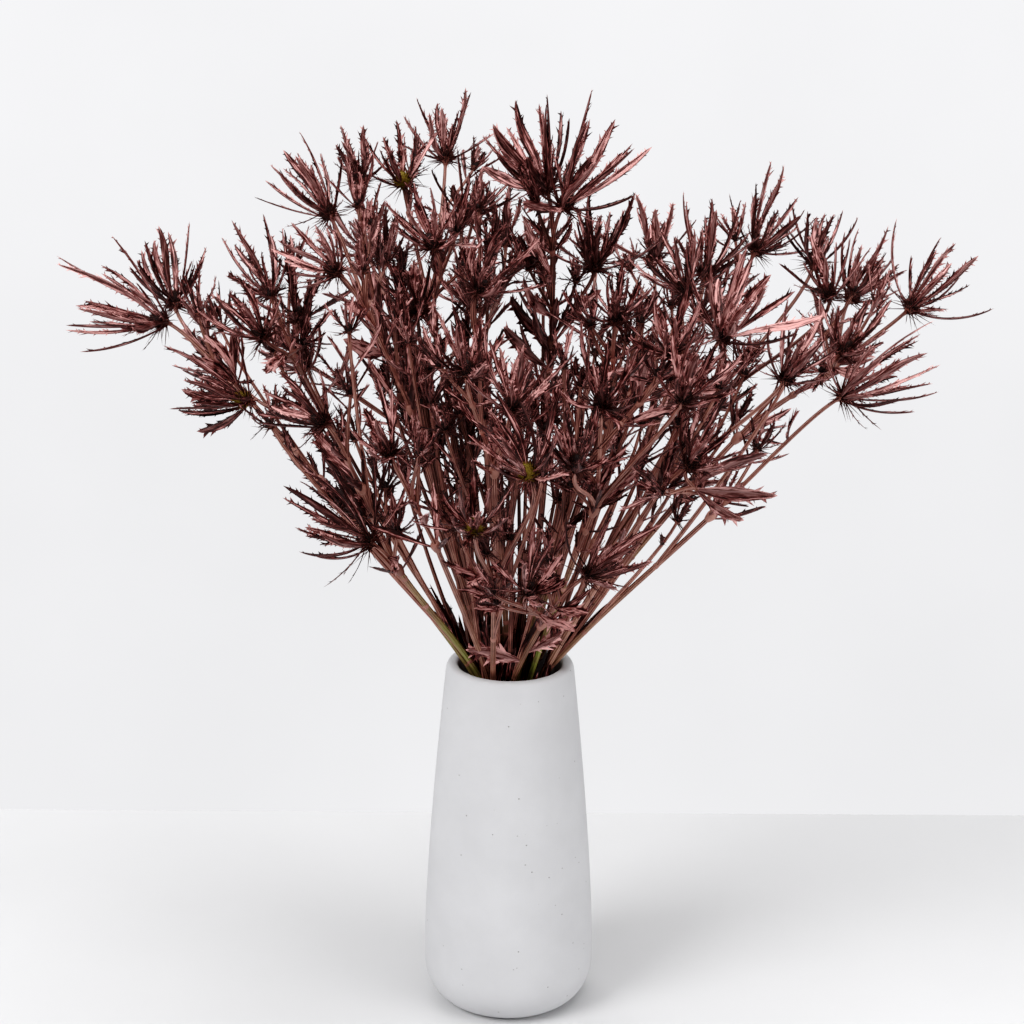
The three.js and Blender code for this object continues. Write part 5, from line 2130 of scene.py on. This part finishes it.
@dataclass
class Cones:
    """A plant's cones of florets, as one piece."""

    plant: Plant
    florets: int = 96
    small_florets: int = 32
    # Where the lowest floret sits, how far up the rest climb, and how far out at the fullest.
    florets_low: float = 0.6
    florets_rise: float = 8.8
    florets_out: float = 4.3
    floret_length: Pair = (1.7, 3.0)
    floret_root: float = 0.6
    floret_radius: float = 0.75
    # Where a floret's root and tip stand between the heart's colour and the tip's, and a root's green.
    root_tone: float = 0.15
    tip_tone: Pair = (0.25, 1.0)
    root_green: float = 0.7

    def build(self) -> bpy.types.Object:
        """Builds them.

        Returns:
            The piece.
        """
        plant = self.plant
        sculpt = PlantSculpt(Run.CONES.draws(plant.owner))
        for head in plant.heads:
            sculpt.add_turned(head.at, head.axis, CONE, head.size, (0.0, 0.0, 0.5, head.green))
            self.add_florets(sculpt, head)
        return dress(sculpt, f"{plant.plan.name}_cones", plant.plan.name, Finish.FLORET, crease=60)

    def add_florets(self, sculpt: PlantSculpt, head: Head) -> None:
        """Adds a head's florets, in the spiral that a cone grows them in.

        Args:
            sculpt: What to add them to.
            head: The head.
        """
        draws, count = sculpt.draws, self.florets if head.size == 1.0 else self.small_florets
        for k in range(count):
            share = (k + 0.5) / count
            radial = radial_at(head.axis, k * GOLDEN_TURN)
            # The cone is fullest a quarter of the way up, and florets point up at its top.
            swell = math.sqrt(max(0.0, 1 - (share * 1.04 - 0.28) ** 2 / 0.62))
            climb = head.axis * (share * self.florets_rise - self.florets_low)
            foot = head.at + (climb + radial * self.florets_out * swell) * head.size
            direction = unit(radial * (1.1 - share) + head.axis * (0.35 + share * 0.9))
            length, tip_tone = draws(*self.floret_length) * head.size, draws(*self.tip_tone)
            root = foot - direction * self.floret_root
            spokes = (radial_at(direction, angle) for angle in FLORET_CORNERS)
            corners = [root + spoke * self.floret_radius * head.size for spoke in spokes]
            root_growth = (self.root_tone, 0.0, 0.5, head.green * self.root_green)
            growth = np.array([root_growth] * 3 + [(tip_tone, 0.0, 0.5, head.green)])
            sculpt.add(np.array((*corners, foot + direction * length)), growth, SPIKE_FACES)


@dataclass(frozen=True)
class Lamp:
    """A round soft lamp: its name, its place in metres, its size and its power in watts."""

    name: str
    place: Point
    size: float
    power: float


LAMPS = (
    Lamp("key", (-2.2, -1.8, 2.5), 1.9, 90.0),
    Lamp("top", (0.4, -0.4, 3.1), 2.4, 62.0),
    Lamp("side", (2.5, -1.7, 1.5), 2.2, 39.0),
    Lamp("back", (-0.8, 2.4, 2.3), 2.4, 24.0),
)


@dataclass
class Studio:
    """The sheet of board under the vase, the pale surround, the lamps and the camera."""

    lens_mm: float = 80.86
    sensor_mm: float = 36.0
    eye: Point = (0.0, -1.410, 0.780)
    pitch_deg: float = 17.25
    roll_deg: float = 0.35
    shift_x: float = 0.001
    clip: Pair = (0.05, 20.0)
    aim_height: float = 0.35
    # The board in millimetres: half its width, where it ends behind and in front, its top and thickness.
    board_half: float = 2600.0
    board_back: float = 287.0
    board_front: float = -3200.0
    board_top: float = -0.2
    board_thickness: float = 1.0
    # The surround: its colour, how bright it is seen, what light it gives, and how it fades and clouds.
    surround: str = "#fdfdff"
    wall: float = 0.905
    fill: float = 0.28
    fade_span: Span = (-0.3, -0.08, -0.035, 0.015)
    cloud_span: Span = (0.3, 0.7, -0.02, 0.02)
    cloud_scale: float = 7.0

    def build(self) -> None:
        """Sets up all of it."""
        self.lay_board()
        self.light_surround()
        self.hang_lamps()
        self.set_camera()

    def lay_board(self) -> None:
        """Lays the board, which ends behind the object."""
        board, side = Sculpt(), self.board_half
        back, front = self.board_back, self.board_front
        corners = ((-side, back), (side, back), (side, front), (-side, front))
        top = np.array([(x, y, self.board_top) for x, y in corners], float)
        low = top - UP * self.board_thickness
        faces = ((3, 2, 1, 0), (4, 5, 6, 7), (0, 1, 5, 4), (1, 2, 6, 5), (2, 3, 7, 6), (3, 0, 4, 7))
        board.add(np.vstack((top, low)), np.zeros((8, 4)), faces)
        board.build("painted_board", PaintedBoard().make(), 30)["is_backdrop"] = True

    def light_surround(self) -> None:
        """Makes a surround that is seen bright and gives less light, so that the foliage keeps its darks."""
        world = bpy.data.worlds.new("pale_surround")
        bpy.context.scene.world = world
        world.use_nodes = True
        tree = world.node_tree
        tree.nodes.clear()
        where = add_node(tree, "TexCoord").outputs["Generated"]
        plaster = add_node(tree, "TexNoise", {"Vector": where, "Scale": self.cloud_scale, "Detail": 6.0})
        height = add_node(tree, "SeparateXYZ", (where,)).outputs["Z"]
        faded = add_node(tree, "MapRange", (height, *self.fade_span))
        clouded = add_node(tree, "MapRange", (plaster, *self.cloud_span))
        uneven = add_node(tree, "Math", (faded, clouded), operation="ADD")
        seen = add_node(tree, "Math", (uneven, self.wall), operation="ADD")
        ray = add_node(tree, "LightPath").outputs["Is Camera Ray"]
        strength = add_node(tree, "MapRange", (ray, 0.0, 1.0, self.fill, seen))
        light = {"Color": linear(self.surround), "Strength": strength}
        surround = add_node(tree, "Background", light)
        output = add_node(tree, "OutputWorld")
        tree.links.new(surround.outputs[0], output.inputs["Surface"])

    def hang_lamps(self) -> None:
        """Hangs the lamps and aims them at the object."""
        for lamp in LAMPS:
            light = bpy.data.lights.new(lamp.name, "AREA")
            light.shape, light.size, light.energy = "DISK", lamp.size, lamp.power
            hung = bpy.data.objects.new(lamp.name, light)
            hung.location = lamp.place
            aim = Vector((0.0, 0.0, self.aim_height)) - Vector(lamp.place)
            hung.rotation_euler = aim.to_track_quat("-Z", "Y").to_euler()
            bpy.context.scene.collection.objects.link(hung)

    def set_camera(self) -> None:
        """Sets the camera at standing eye height, looking down a little."""
        lens = bpy.data.cameras.new("eye")
        lens.lens, lens.sensor_width, lens.shift_x = self.lens_mm, self.sensor_mm, self.shift_x
        lens.clip_start, lens.clip_end = self.clip
        camera = bpy.data.objects.new("eye", lens)
        camera.location = self.eye
        roll = Matrix.Rotation(math.radians(self.roll_deg), 4, "Z")
        tilt = Matrix.Rotation(math.radians(90 - self.pitch_deg), 4, "X")
        camera.rotation_euler = (tilt @ roll).to_euler()
        bpy.context.scene.collection.objects.link(camera)
        bpy.context.scene.camera = camera


# The picture's response: its black point, a little above the darkest gaps, and points of its curve.
BLACK_POINT = 0.004
RESPONSE = ((0.02, 0.008), (0.05, 0.029), (0.11, 0.094), (0.35, 0.36))


def set_response(settings: bpy.types.ColorManagedViewSettings) -> None:
    """Gives the picture a plain colour transform with the response.

    Args:
        settings: The scene's view settings.
    """
    settings.view_transform = "Standard"
    settings.use_curve_mapping = True
    mapping = settings.curve_mapping
    mapping.black_level = (BLACK_POINT,) * 3
    for place, level in RESPONSE:
        mapping.curves[3].points.new(place, level)
    mapping.update()


def main() -> None:
    """Builds everything in order, and reports each piece."""
    logging.basicConfig(level=logging.INFO, format="%(message)s")
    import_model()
    cad_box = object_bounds()
    set_response(bpy.context.scene.view_settings)
    low, high = (np.array(corner) / MM for corner in cad_box)
    assemblies: list[Vase | Stalks | Foliage | Cones] = [Vase()]
    for plant in Grower(low, high).grow():
        assemblies += [Stalks(plant), Foliage(plant, low, high), Cones(plant)]
    for assembly in assemblies:
        piece = assembly.build()
        log.info("%s: %d faces", piece.name, len(piece.data.polygons))
    Studio().build()


if __name__ == "__main__":
    main()
